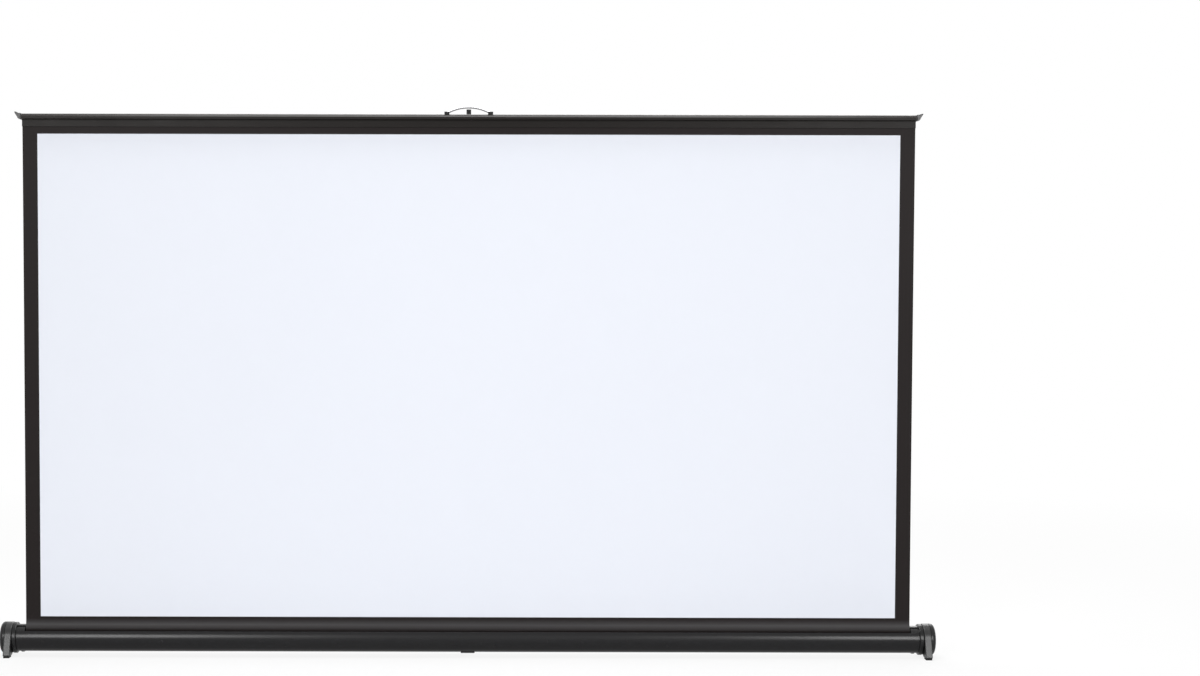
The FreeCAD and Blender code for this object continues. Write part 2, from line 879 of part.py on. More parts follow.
def bar_end_cap(side):
    """A moulded plug in the bar's end that flares outwards and up to a horn."""
    name = f"{side}_bar_cap"
    sign, turn = ("-", half_turn) if side == "left" else ("", unturned)
    spot = (f"{sign}{fabric_width} / 2", "-fabric_plane", bar_bottom, turn)
    bodies = []
    spans = (("neck", "-neck_inset", "neck_length"), ("crown", "horn_rise", "horn_reach"))
    for piece, grow, span in spans:
        half, shoulder, centre = head_outline(grow)
        floor = f"(stem_height - ({grow}))"
        corners = [
            (half, floor),
            (half, shoulder),
            (f"-{half}", shoulder, "0", centre, "left"),
            (f"-{half}", floor),
        ]
        bodies.append(place(extruded(f"{name}_{piece}", "YZ", corners, span), *spot))
    neck, crown = bodies
    low = "(stem_height - horn_drop)"
    top = "(stem_height + head_side + head_rise)"
    tip = f"({top} + horn_rise)"
    plate = body(f"{name}_plate")
    profile = sketch(plate, f"{name}_lean", "XZ")
    outline(
        profile,
        [
            ("horn_inner", low),
            ("horn_foot", low),
            ("horn_reach", f"({tip} - horn_lip)"),
            ("horn_reach", tip),
            ("horn_foot", top),
            ("horn_inner", top),
        ],
    )
    depth = "(head_width / 2 + horn_proud)"
    bind(profile, "AttachmentOffset.Base.z", f"-{depth}")
    pad(plate, profile, f"2 * {depth}")
    tip_x = value("horn_reach")

    def on_tip(edge):
        return runs_along(edge, Vector(0, 1, 0)) and abs(edge.BoundBox.XMin - tip_x) < 1e-4

    rounded(plate, "horn_round", on_tip)
    horn = doc.addObject("Part::Common", f"{name}_horn")
    horn.Base = place(plate, *spot)
    horn.Tool = crown
    return joined(name, neck, horn)


def bar_screw_places():
    for index, x in enumerate(("-bar_screw_spacing", "0", "bar_screw_spacing")):
        yield index, x


bar_screw_height = f"(({bar_bottom} + front_plate_lift + {web_bottom}) / 2)"
screw_tip = "(-fabric_plane + fabric_thick / 2 + slit_clearance + seat_clearance)"


def bar_screw_shanks(purpose):
    length = f"{stem_back} + plate_thick - ({screw_tip})"
    return [
        rod(f"{purpose}_{i}", "bar_screw_radius", length, x, screw_tip, bar_screw_height, along_y)
        for i, x in bar_screw_places()
    ]


def bar_screws():
    screws = []
    for shank, (index, x) in zip(bar_screw_shanks("bar_screw_shank"), bar_screw_places()):
        size = ("bar_screw_head_radius", "bar_screw_head")
        seat = f"{stem_back} + plate_thick"
        head = rod(f"bar_screw_head_{index}", *size, x, seat, bar_screw_height, along_y)
        screws.append(joined(f"bar_screw_{index}", shank, head))
    return group("bar_screws", screws)


def bar_bracket():
    """A folded plate under the bar's head, with a rear wall for the arms and ears for the latch."""
    front_back = f"({stem_back} + plate_thick)"
    rear_low = f"({top_pivot} - rear_plate_drop)"
    plate = extruded(
        "bar_bracket_plate",
        "YZ",
        [
            (stem_back, f"{bar_bottom} + front_plate_lift"),
            (front_back, f"{bar_bottom} + front_plate_lift"),
            (front_back, web_bottom),
            (rear_plate_front, web_bottom),
            (rear_plate_front, rear_low),
            (rear_plate_back, rear_low),
            (rear_plate_back, web_top),
            (stem_back, web_top),
        ],
        "2 * bracket_half",
    )
    rounded(
        plate,
        "rear_plate_round",
        lambda e: runs_along(e, Vector(0, 1, 0)) and lies_at(e, z=rear_low),
    )
    rounded(
        plate,
        "bend_round",
        lambda e: runs_along(e, Vector(1, 0, 0)) and lies_at(e, y=rear_plate_back, z=web_top),
    )
    place(plate, "-bracket_half")
    ear_inner = "(latch_half + latch_side_gap)"
    ear_y = (rear_plate_back, f"({latch_back} + ear_height / 2)")
    ear_z = (f"({latch_pivot_z} - ear_height)", f"({latch_pivot_z} + ear_height)")
    ears = [
        box("left_ear", (f"-{ear_outer}", f"-{ear_inner}"), ear_y, ear_z),
        box("right_ear", (ear_inner, ear_outer), ear_y, ear_z),
    ]
    holes = [
        rod(
            f"{side}_top_pivot_hole",
            "pivot_radius",
            "plate_thick + 2 * overrun",
            f"{sign}pivot_half",
            f"{rear_plate_front} - overrun",
            top_pivot,
            along_y,
        )
        for side, sign in (("left", "-"), ("right", ""))
    ]
    return cut(
        "bar_bracket",
        joined("bar_bracket_blank", plate, *ears),
        *holes,
        *bar_screw_shanks("bracket_hole"),
        latch_pin_rod("ear_hole", "overrun"),
    )


def latch_pin_rod(name, spare="0"):
    reach = f"({ear_outer} + {spare})"
    return rod(
        name, "latch_pin_radius", f"2 * {reach}", f"-{reach}", latch_pivot_y, latch_pivot_z, along_x
    )


def latch_pin():
    heads = [
        rod(
            f"{side}_latch_pin_head",
            "latch_pin_head",
            "latch_pin_head_thick",
            start,
            latch_pivot_y,
            latch_pivot_z,
            along_x,
        )
        for side, start in (("left", f"-{ear_outer} - latch_pin_head_thick"), ("right", ear_outer))
    ]
    return joined("latch_pin", latch_pin_rod("latch_pin_shank"), *heads)


def latch_lever():
    """A hook that hangs behind the bar, with a thumb tab above it."""
    nose_top = f"({latch_foot} + latch_nose_height)"
    nose_tip = f"({latch_front} - latch_nose)"
    tab_top = f"({bar_top} + latch_top_rise)"
    lever = extruded(
        "latch_blank",
        "YZ",
        [
            (latch_front, nose_top),
            (nose_tip, nose_top),
            (nose_tip, f"{latch_foot} + latch_nose_height / 2"),
            (latch_front, latch_foot),
            (latch_back, latch_foot),
            (latch_back, bar_top),
            (f"{latch_back} + latch_tab_lean", tab_top),
            (f"{latch_front} + latch_tab_lean", tab_top),
            (latch_front, bar_top),
        ],
        "2 * latch_half",
    )
    place(lever, "-latch_half")
    bore = rod(
        "latch_bore",
        "latch_pin_radius + running_clearance",
        "2 * (latch_half + overrun)",
        "-latch_half - overrun",
        latch_pivot_y,
        latch_pivot_z,
        along_x,
    )
    return cut("latch_lever", lever, bore)


def rivet_places():
    lean = Rotation(Vector(1, 0, 0), -value("rivet_angle"))
    for index, x in enumerate(("-rivet_outer", "-rivet_inner", "rivet_inner", "rivet_outer")):
        yield index, x, lean


def rivet_rod(name, x, lean, radius, start, length):
    y = f"({start}) * sin(rivet_angle)"
    z = f"axis_height + ({start}) * cos(rivet_angle)"
    return rod(name, radius, length, x, y, z, lean)


def rivet_shanks(purpose):
    length = "tube_wall + saddle_thick"
    return [
        rivet_rod(f"{purpose}_rivet_{i}", x, lean, "rivet_radius", tube_inner, length)
        for i, x, lean in rivet_places()
    ]


def base_rivets():
    rivets = []
    for shank, (index, x, lean) in zip(rivet_shanks("shank"), rivet_places()):
        start = "tube_radius + saddle_thick"
        sink = f"{start} - saddle_thick / 2"
        height = "rivet_head + saddle_thick / 2"
        head = rivet_rod(f"rivet_head_{index}", x, lean, "rivet_head_radius", sink, height)
        saddle = rod(
            f"rivet_seat_{index}", start, "2 * bracket_half", "-bracket_half", "0", "axis_height", along_x
        )
        cap = cut(f"rivet_cap_{index}", head, saddle)
        rivets.append(joined(f"base_rivet_{index}", shank, cap))
    return group("base_rivets", rivets)


def base_bracket():
    """A saddle riveted over the back of the tube, with a strap round below, a plate and a catch."""
    x = ("-bracket_half", "bracket_half")
    shell = cut(
        "saddle_shell",
        rod(
            "saddle_outer",
            "tube_radius + saddle_thick",
            "2 * bracket_half",
            "-bracket_half",
            "0",
            "axis_height",
            along_x,
        ),
        tube_space("saddle_inner"),
    )
    sector = doc.addObject("Part::Common", "saddle_sector")
    sector.Base = shell
    sector.Tool = box(
        "saddle_window",
        x,
        ("base_plate_front", "tube_radius + saddle_thick + overrun"),
        ("axis_height + saddle_low", f"{tube_top} + saddle_thick + overrun"),
    )
    outer = "(tube_radius + saddle_thick)"
    strap = doc.addObject("Part::Common", "strap_sector")
    strap.Base = cut(
        "strap_shell",
        rod("strap_outer", outer, "2 * strap_half", "-strap_half", "0", "axis_height", along_x),
        tube_space("strap_inner"),
    )
    strap.Tool = box(
        "strap_window",
        ("-strap_half", "strap_half"),
        ("-strap_front", f"{outer} + overrun"),
        (f"axis_height - {outer} - overrun", "axis_height + saddle_low + overrun"),
    )
    top = f"({base_pivot} + base_plate_over)"
    side = "(bracket_half - base_plate_round)"
    shoulder = f"({top} - base_plate_round)"
    plate = extruded(
        "base_plate_blank",
        "XZ",
        [
            ("-bracket_half", "axis_height"),
            ("bracket_half", "axis_height"),
            ("bracket_half", shoulder),
            (side, top, side, shoulder, "left"),
            (f"-{side}", top),
            ("-bracket_half", shoulder, f"-{side}", shoulder, "left"),
        ],
        "plate_thick",
        backwards=True,
    )
    place(plate, "0", "base_plate_front")
    nose_top = f"({latch_foot} + latch_nose_height - ({top_pivot} - {base_pivot}))"
    catch_top = f"({nose_top} + catch_gap + catch_thick)"
    catch = box(
        "catch_tab",
        ("-catch_half", "catch_half"),
        ("base_plate_front", f"({latch_front} - catch_gap)"),
        (f"({catch_top} - catch_thick)", catch_top),
    )
    solids = joined("bracket_solids", plate, sector, strap, catch)
    trimmed = cut("base_bracket_blank", solids, tube_space("tube_room"))
    holes = [
        rod(
            f"{name}_base_pivot_hole",
            "pivot_radius",
            "plate_thick + 2 * overrun",
            f"{sign}pivot_half",
            "base_plate_front - overrun",
            base_pivot,
            along_y,
        )
        for name, sign in (("left", "-"), ("right", ""))
    ]
    return cut("base_bracket", trimmed, *holes, *rivet_shanks("saddle_hole"))


def tube_space(name):
    """The room that the tube takes inside its saddle."""
    reach = "(bracket_half + overrun)"
    return rod(name, "tube_radius", f"2 * {reach}", f"-{reach}", "0", "axis_height", along_x)


def arm_angle(side, level):
    """The turn that points an arm, drawn along +X, from its pivot to its knee."""
    rise = 90 - value("arm_lean")
    rise = rise if level == "lower" else -rise
    return Rotation(Vector(0, 1, 0), -rise if side == "right" else rise - 180)


def arm(side, level):
    """A flat bar from a pivot at its start to the knee at its far end."""
    name = f"{side}_{level}_arm"
    bar = extruded(
        f"{name}_blank",
        "XZ",
        [
            (arm_length, "-arm_half_width"),
            (arm_length, "arm_half_width", arm_length, "0", "left"),
            ("0", "arm_half_width"),
            ("0", "-arm_half_width", "0", "0", "left"),
        ],
        "arm_thick",
        backwards=True,
    )
    rounded(bar, "arm_edge_round", lambda e: e.BoundBox.YLength < 1e-6)
    front, pivot = (lower_front, base_pivot) if level == "lower" else (upper_front, top_pivot)
    sign = "-" if side == "left" else ""
    lean = arm_angle(side, level)
    place(bar, f"{sign}pivot_half", front, pivot, lean)
    is_open = side == "right" and level == "upper"
    clearance = "open_pivot_clearance" if is_open else "running_clearance"
    bore = pivot_tool(f"{name}_pivot", level, clearance)
    place(bore, f"{sign}pivot_half", front, pivot)
    knee = rod(
        f"{name}_knee_bore",
        "pivot_radius + running_clearance",
        "arm_thick + 2 * overrun",
        f"{sign}{knee_x}",
        f"{front} - overrun",
        knee_z,
        along_y,
    )
    return cut(name, bar, bore, knee)


def pivot_tool(name, level, clearance):
    """The countersunk hole for a flush pivot pin, through an arm that starts at Y = 0."""
    radius = f"pivot_radius + {clearance}"
    flare = f"flare_radius + {clearance}"
    if level == "lower":
        corners = [
            ("0", "-overrun"),
            (radius, "-overrun"),
            (radius, "arm_thick - flare_depth"),
            (flare, "arm_thick"),
            (flare, "arm_thick + overrun"),
            ("0", "arm_thick + overrun"),
        ]
    else:
        corners = [
            ("0", "-overrun"),
            (flare, "-overrun"),
            (flare, "0"),
            (radius, "flare_depth"),
            (radius, "arm_thick + overrun"),
            ("0", "arm_thick + overrun"),
        ]
    return turned(name, corners, "V_Axis")


def base_pin(side):
    """A rivet with its head in front of the base plate and a flush tail in the lower arm."""
    pin = turned(
        f"{side}_base_pin",
        [
            ("0", "base_plate_front - pivot_head"),
            ("pivot_head_radius", "base_plate_front - pivot_head"),
            ("pivot_head_radius", "base_plate_front"),
            ("pivot_radius", "base_plate_front"),
            ("pivot_radius", f"{lower_back} - flare_depth"),
            ("flare_radius", lower_back),
            ("0", lower_back),
        ],
        "V_Axis",
    )
    sign = "-" if side == "left" else ""
    return place(pin, f"{sign}pivot_half", "0", base_pivot)


def top_pin(side):
    """A rivet with its head behind the bar's bracket and a flush tail in the upper arm."""
    pin = turned(
        f"{side}_top_pin",
        [
            ("0", upper_front),
            ("flare_radius", upper_front),
            ("pivot_radius", f"{upper_front} + flare_depth"),
            ("pivot_radius", rear_plate_back),
            ("pivot_head_radius", rear_plate_back),
            ("pivot_head_radius", f"{rear_plate_back} + pivot_head"),
            ("0", f"{rear_plate_back} + pivot_head"),
        ],
        "V_Axis",
    )
    sign = "-" if side == "left" else ""
    return place(pin, f"{sign}pivot_half", "0", top_pivot)


def knee_pin(side):
    """The rivet through both arms. It turns with the lower one, and its boss holds the spring."""
    boss_front = f"({upper_back} + running_clearance)"
    turns = f"({knee_full_turns + 1} - arm_lean / 360)"
    boss_back = f"({knee_spring_front} + knee_pitch * {turns} + knee_wire / 2 + knee_boss_room)"
    rivet = turned(
        f"{side}_knee_rivet",
        [
            ("0", f"{lower_front} - pivot_head"),
            ("pivot_head_radius", f"{lower_front} - pivot_head"),
            ("pivot_head_radius", lower_front),
            ("pivot_radius", lower_front),
            ("pivot_radius", boss_front),
            (knee_boss_radius, boss_front),
            (knee_boss_radius, boss_back),
            (f"{knee_boss_radius} + knee_cap_proud", boss_back),
            (f"{knee_boss_radius} + knee_cap_proud", f"{boss_back} + pivot_head"),
            ("0", f"{boss_back} + pivot_head"),
        ],
        "V_Axis",
    )
    near = f"({knee_x} - {knee_boss_radius} - knee_boss_gap)"
    far = f"({knee_x} - {knee_boss_radius} + knee_tang + knee_boss_gap)"
    half = "(knee_wire / 2 + 2 * knee_boss_gap)"
    slot = box(
        f"{side}_knee_slot",
        (f"-{far}", f"-{near}") if side == "left" else (near, far),
        (f"{boss_back} - knee_boss_room - knee_wire - knee_boss_gap", boss_back),
        (f"{knee_z} - {half}", f"{knee_z} + {half}"),
    )
    sign = "-" if side == "left" else ""
    return cut(f"{side}_knee_pin", place(rivet, f"{sign}{knee_x}", "0", knee_z), slot)


def knee_washer(side):
    washer = turned(
        f"{side}_knee_washer",
        [
            ("pivot_radius + running_clearance", f"{lower_back} + washer_gap"),
            ("washer_radius", f"{lower_back} + washer_gap"),
            ("washer_radius", f"{upper_front} - washer_gap"),
            ("pivot_radius + running_clearance", f"{upper_front} - washer_gap"),
        ],
        "V_Axis",
    )
    sign = "-" if side == "left" else ""
    return place(washer, f"{sign}{knee_x}", "0", knee_z)


def hooked_leg(start, heading, leg, hook):
    """A straight leg that ends in a hook bent towards the arms, as edges from the coil outwards."""
    bend = value("knee_bend")
    forward = Vector(-1, 0, 0)
    corner = start + heading * leg
    after = corner + heading * bend + forward * bend
    return [
        Part.LineSegment(start, corner).toShape(),
        *biarc(corner, heading, after, forward),
        Part.LineSegment(after, after + forward * hook).toShape(),
    ]


def reverse_edges(edges):
    """The same edges from the far end back."""
    back = []
    for edge in reversed(edges):
        first, last = edge.FirstParameter, edge.LastParameter
        ends = edge.valueAt(last), edge.valueAt(first)
        if isinstance(edge.Curve, Part.Line):
            back.append(Part.LineSegment(*ends).toShape())
        else:
            back.append(Part.Arc(ends[0], edge.valueAt((first + last) / 2), ends[1]).toShape())
    return back


def knee_spring(side):
    """A torsion spring on the knee's boss: one end sits in the boss's slot, and the other lies
    along the upper arm and hooks on its inner edge.

    It is wound about X, which is then turned to lie along Y, with its angle zero towards -X
    of the right knee."""
    radius, wire, bend = value(knee_coil_radius), value("knee_wire"), value("knee_tang_bend")
    pitch = -value("knee_pitch")
    first = math.asin(bend / radius)
    last = 2 * math.pi * (knee_full_turns + 1) - math.radians(value("arm_lean"))
    start, heading = helix_point(radius, pitch, first, first)
    end, arrival = helix_point(radius, pitch, last, first)
    outwards = Vector(0, 1, 0)
    tip = outwards * value(f"{knee_boss_radius} - knee_tang")
    mouth = outwards * (radius * math.cos(first) - bend)
    leg, turn = value("knee_leg"), value("knee_bend")
    hook = value(f"{knee_spring_front} - {upper_back} + knee_hook") - turn + arrival.x * (leg + turn)
    edges = [
        Part.LineSegment(tip, mouth).toShape(),
        *biarc(mouth, outwards, start, heading),
        *coil_edges(radius, pitch, first, last),
        *hooked_leg(end, arrival, leg, hook),
    ]
    solid, path = wire_solid(edges, wire)
    least_gap(f"{side}_knee_spring", path, wire)
    spring = doc.addObject("Part::Feature", f"{side}_knee_spring")
    if side == "left":
        solid = solid.mirror(Vector(), Vector(0, 1, 0))
    spring.Shape = solid
    sign = "-" if side == "left" else ""
    upright = Rotation(Vector(0, 0, 1), 90)
    return place(spring, f"{sign}{knee_x}", f"{knee_spring_front} + {-end.x}", knee_z, upright)


handle_low = f"({bar_top} + lug_height / 2)"
handle_rise = f"({bar_top} + handle_gap + handle_wire_radius - {handle_low})"
handle_bow = f"((handle_half ^ 2 + {handle_rise} ^ 2) / (2 * {handle_rise}))"


def handle_arc(name):
    """A round wire bent to a shallow arch over the bar."""
    wire = doc.addObject("Part::Torus", name)
    bind(wire, "Radius1", handle_bow)
    bind(wire, "Radius2", "handle_wire_radius")
    bind(wire, "Angle3", f"2 * asin(handle_half / {handle_bow})")
    half_angle = math.degrees(math.asin(value(f"handle_half / {handle_bow}")))
    upright = Rotation(Vector(1, 0, 0), 90) * Rotation(Vector(0, 0, 1), 90 - half_angle)
    height = f"{bar_top} + handle_gap + handle_wire_radius - {handle_bow}"
    return place(wire, "0", "-fabric_plane", height, upright)


def handle_lugs():
    lugs = []
    for side, sign in (("left", "-"), ("right", "")):
        block = box(
            f"{side}_lug_block",
            (f"{sign}handle_half - lug_half", f"{sign}handle_half + lug_half"),
            ("-fabric_plane - lug_depth / 2", "-fabric_plane + lug_depth / 2"),
            (f"{bar_top} - head_rise", f"{bar_top} + lug_height"),
        )
        crown = rod(
            f"{side}_lug_seat",
            arch_radius,
            "2 * (handle_half + lug_half + overrun)",
            "-handle_half - lug_half - overrun",
            "-fabric_plane",
            arch_centre,
            along_x,
        )
        lugs.append(cut(f"{side}_lug", block, crown, handle_arc(f"{side}_lug_bore")))
    return group("handle_lugs", lugs)


def build():
    """Every sub-part of the screen, in the order in which it is put together."""
    sides = ("left", "right")
    nodes = [casing_tube(), cap_screws(), foot_pads()]
    for side in sides:
        nodes += [end_cap(side), foot(side), end_disc(side), roller_plug(side)]
    nodes += [roller_tube(), fabric_wraps(), idle_pin(), spring_shaft(), spring_anchor(), roller_spring()]
    nodes += [screen_fabric(), fabric_spline(), top_bar(), bar_bracket(), bar_screws()]
    nodes += [handle_arc("handle_wire"), handle_lugs(), latch_lever(), latch_pin()]
    nodes += [base_bracket(), base_rivets()]
    for side in sides:
        nodes += [bar_end_cap(side), base_pin(side), top_pin(side)]
        nodes += [arm(side, "lower"), arm(side, "upper")]
        nodes += [knee_pin(side), knee_washer(side), knee_spring(side)]
    return nodes


nodes = build()
doc.recompute()
faults = [f"{t.Name} {t.State}" for t in doc.Objects if {"Invalid", "Error"} & set(t.State)]
broken = [node for node in nodes if node.Shape.isNull() or not node.Shape.isValid()]
faults += [f"{node.Label} has no valid shape" for node in broken]
if faults:
    raise RuntimeError("; ".join(faults))
os.makedirs("parts", exist_ok=True)
for node in nodes:
    node.Shape.exportStep(f"parts/{node.Label}.step")
print(f"{len(nodes)} sub-parts written")
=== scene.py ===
import math

import bmesh
import bpy
from mathutils import Matrix, Vector


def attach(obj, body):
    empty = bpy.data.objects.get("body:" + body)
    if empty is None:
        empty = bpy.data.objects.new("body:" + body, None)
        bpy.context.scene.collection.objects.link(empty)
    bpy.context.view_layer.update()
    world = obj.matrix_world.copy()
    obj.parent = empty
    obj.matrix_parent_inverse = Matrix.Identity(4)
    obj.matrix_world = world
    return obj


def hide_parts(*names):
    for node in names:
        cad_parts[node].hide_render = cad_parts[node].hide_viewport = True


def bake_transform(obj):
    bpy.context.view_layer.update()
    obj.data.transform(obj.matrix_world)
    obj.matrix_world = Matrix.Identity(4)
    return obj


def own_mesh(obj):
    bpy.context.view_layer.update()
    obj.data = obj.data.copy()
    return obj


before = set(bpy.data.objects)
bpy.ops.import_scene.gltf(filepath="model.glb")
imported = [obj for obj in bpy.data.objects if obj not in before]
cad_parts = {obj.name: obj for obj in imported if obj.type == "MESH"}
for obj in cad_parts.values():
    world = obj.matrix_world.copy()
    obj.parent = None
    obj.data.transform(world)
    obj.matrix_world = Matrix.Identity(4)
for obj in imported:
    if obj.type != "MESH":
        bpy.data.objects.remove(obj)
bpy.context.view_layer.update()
scene = bpy.context.scene
scene.view_settings.view_transform = "Standard"
print("frame loaded:", len(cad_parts), "nodes")


# shader maths: a socket that adds Math nodes when it meets an operator
class Wire:
    def __init__(self, maker, socket):
        self.maker = maker
        self.socket = socket

    def sums(self, operation, *given):
        return self.maker.node("ShaderNodeMath", {"operation": operation}, dict(enumerate(given)))

    def __add__(self, other):
        return self.sums("ADD", self, other)

    def __radd__(self, other):
        return self.sums("ADD", other, self)

    def __sub__(self, other):
        return self.sums("SUBTRACT", self, other)

    def __rsub__(self, other):
        return self.sums("SUBTRACT", other, self)

    def __mul__(self, other):
        return self.sums("MULTIPLY", self, other)

    def __truediv__(self, other):
        return self.sums("DIVIDE", self, other)

    def __gt__(self, other):
        return self.sums("GREATER_THAN", self, other)

    def __abs__(self):
        return self.sums("ABSOLUTE", self)

    def sin(self):
        return self.sums("SINE", self)

    def cos(self):
        return self.sums("COSINE", self)

    def larger(self, other):
        return self.sums("MAXIMUM", self, other)

    def smaller(self, other):
        return self.sums("MINIMUM", self, other)


class Maker:
    def __init__(self, tree):
        self.tree = tree
        tree.nodes.clear()

    # settings come first, then what goes into the sockets, by name or by number
    def node(self, kind, settings=None, sockets=None, out=None):
        made = self.tree.nodes.new(kind)
        for key, setting in (settings or {}).items():
            setattr(made, key, setting)
        for key, given in (sockets or {}).items():
            if isinstance(key, int):
                socket = made.inputs[key]
            else:
                socket = next(s for s in made.inputs if s.name == key and s.enabled)
            if isinstance(given, Wire):
                self.tree.links.new(given.socket, socket)
            elif given is not None:
                socket.default_value = given
        if out is None:
            found = next((s for s in made.outputs if s.enabled), None)
        else:
            found = next(s for s in made.outputs if s.name == out)
        return Wire(self, found)

    def mixed(self, share, first, second):
        kinds = {"data_type": "RGBA"}
        return self.node("ShaderNodeMix", kinds, {"Factor": share, "A": first, "B": second})

    def apart(self, vector):
        made = self.node("ShaderNodeSeparateXYZ", None, {0: vector})
        return [Wire(self, s) for s in made.socket.node.outputs]

    def noise(self, spot, scale, detail=2.0, rough=0.5):
        given = {"Vector": spot, "Scale": scale, "Detail": detail, "Roughness": rough}
        return self.node("ShaderNodeTexNoise", None, given, "Fac")

    def bump(self, height, strength, reach):
        given = {"Strength": strength, "Distance": reach, "Height": height}
        return self.node("ShaderNodeBump", None, given)

    # 1 for rays from the camera or through something clear, and a share of 1 for reflections
    def seen(self, mirrored=1.0):
        rays = self.node("ShaderNodeLightPath").socket.node.outputs
        kinds = ("Is Camera Ray", "Is Transmission Ray", "Is Glossy Ray")
        camera, through, glossy = (Wire(self, rays[kind]) for kind in kinds)
        return camera.larger(through).larger(glossy * mirrored)


def paint(colour):
    return (*colour, 1)


def newMaterial(name):
    material = bpy.data.materials.new(name)
    material.use_nodes = True
    return material, Maker(material.node_tree)


def closeMaterial(maker, sockets):
    shader = maker.node("ShaderNodeBsdfPrincipled", None, sockets)
    maker.node("ShaderNodeOutputMaterial", None, {"Surface": shader})


# one look for painted, moulded, plated and drawn finishes; stretch and lean give the grain its run
plainLook = {
    "colour": (0.02, 0.02, 0.02), "shade": (0.014, 0.014, 0.014), "patchScale": 14,
    "stretch": (1, 1, 1), "lean": 0, "grainScale": 900, "grainBump": 0.08, "grainReach": 0.0002,
    "rough": 0.4, "roughSpread": 0.12, "metallic": 0.0, "coat": 0.0, "coatRough": 0.1,
    "specular": 0.4, "wear": 0.25, "wearColour": (0.12, 0.12, 0.12), "edge": 0.0006, "dust": 0.1,
    "wearGain": 5, "dustColour": (0.3, 0.29, 0.27), "speckScale": 420, "speckCut": 0.7,
    "leastRough": 0.03,
}


def hardFinish(name, **look):
    look = {**plainLook, **look}
    material, m = newMaterial(name)
    spot = m.node("ShaderNodeTexCoord", None, None, "Object")
    turn = {"Vector": spot, "Rotation": (0, look["lean"], 0), "Scale": look["stretch"]}
    run = m.node("ShaderNodeMapping", None, turn)
    grain = m.noise(run, look["grainScale"], detail=3)
    patch = m.noise(spot, look["patchScale"], detail=4, rough=0.6)
    specks = m.noise(spot, look["speckScale"]) > look["speckCut"]
    bevel = m.node("ShaderNodeBevel", {"samples": 4}, {"Radius": look["edge"]})
    flat = m.node("ShaderNodeNewGeometry", None, None, "Normal")
    product = {"operation": "DOT_PRODUCT"}
    lineUp = m.node("ShaderNodeVectorMath", product, {0: bevel, 1: flat}, "Value")
    worn = ((1 - lineUp) * look["wearGain"] * patch).smaller(1) * look["wear"]
    colour = m.mixed(patch, paint(look["colour"]), paint(look["shade"]))
    colour = m.mixed(worn, colour, paint(look["wearColour"]))
    colour = m.mixed(specks * patch * look["dust"], colour, paint(look["dustColour"]))
    spread = look["roughSpread"]
    rough = look["rough"] + (grain - 0.5) * spread + (patch - 0.5) * spread
    closeMaterial(m, {
        "Base Color": colour, "Roughness": rough.larger(look["leastRough"]),
        "Metallic": look["metallic"], "Coat Weight": look["coat"],
        "Coat Roughness": look["coatRough"], "Specular IOR Level": look["specular"],
        "Normal": m.bump(grain, look["grainBump"], look["grainReach"]),
    })
    return material


# the cloth: white picture area with black borders in front, dark grey coating behind
clothLook = {
    "halfWide": 0.5535, "low": 0.05149, "high": 0.67449, "soft": 0.0003,
    "white": (0.76, 0.784, 0.8455), "whiteShade": (0.746, 0.77, 0.833),
    "border": (0.0112, 0.0082, 0.008), "borderShade": (0.0167, 0.0134, 0.013),
    "back": (0.039, 0.0348, 0.0337), "backShade": (0.0305, 0.0272, 0.0264),
    "thread": 0.0011, "backThread": 0.0014, "beadScale": 2600, "cloudScale": 3.5,
    # the lip band's colour is a painted highlight, a lighter grey standing in for the light that
    # the slot's lip catches
    "lipHighlightAt": 0.0415, "lipHighlightReach": 0.0075, "paintedLipHighlight": (0.05, 0.048, 0.049),
    "rough": 0.46, "whiteRough": 0.4, "lipBandGloss": 0.05, "specular": 0.1,
    "relief": 0.10, "reliefReach": 0.0002,
    "backCloudScale": 2.2, "streakRun": (40, 1, 1.5), "streakScale": 6,
    "backTone": (0.6, 0.25, 0.15), "backRough": 0.66, "backRoughSpread": 0.16,
    "backSpecular": 0.3, "backRelief": 0.28, "backReliefReach": 0.00025,
}


def weave(m, x, z, thread):
    pitch = 2 * math.pi / thread
    over = (x * pitch).sin() * (z * pitch * 0.5).cos()
    under = (z * pitch).sin() * (x * pitch * 0.5).cos()
    return (over.larger(under) + 1) * 0.5


def screenFront():
    look = clothLook
    material, m = newMaterial("screenFront")
    spot = m.node("ShaderNodeTexCoord", None, None, "Object")
    x, _, z = m.apart(spot)
    beads = m.noise(spot, look["beadScale"], detail=1)
    cloud = m.noise(spot, look["cloudScale"])
    rim = (look["halfWide"] - abs(x)).smaller(z - look["low"]).smaller(look["high"] - z)
    inside = (rim / look["soft"]).larger(0).smaller(1)
    threads = weave(m, x, z, look["thread"])
    pale = m.mixed(cloud, paint(look["white"]), paint(look["whiteShade"]))
    dark = m.mixed(threads * cloud, paint(look["border"]), paint(look["borderShade"]))
    # a lighter band painted into the lower border's colour along the slot's lip, a painted
    # highlight where the lip catches the light; the same band is also made a little glossier
    paintedLipHighlight = (1 - abs(z - look["lipHighlightAt"]) / look["lipHighlightReach"]).larger(0)
    dark = m.mixed(paintedLipHighlight, dark, paint(look["paintedLipHighlight"]))
    height = threads * 0.5 + beads * 0.5
    rough = look["rough"] + inside * look["whiteRough"] - paintedLipHighlight * look["lipBandGloss"]
    closeMaterial(m, {
        "Base Color": m.mixed(inside, dark, pale), "Roughness": rough,
        "Specular IOR Level": look["specular"],
        "Normal": m.bump(height, look["relief"], look["reliefReach"]),
    })
    return material


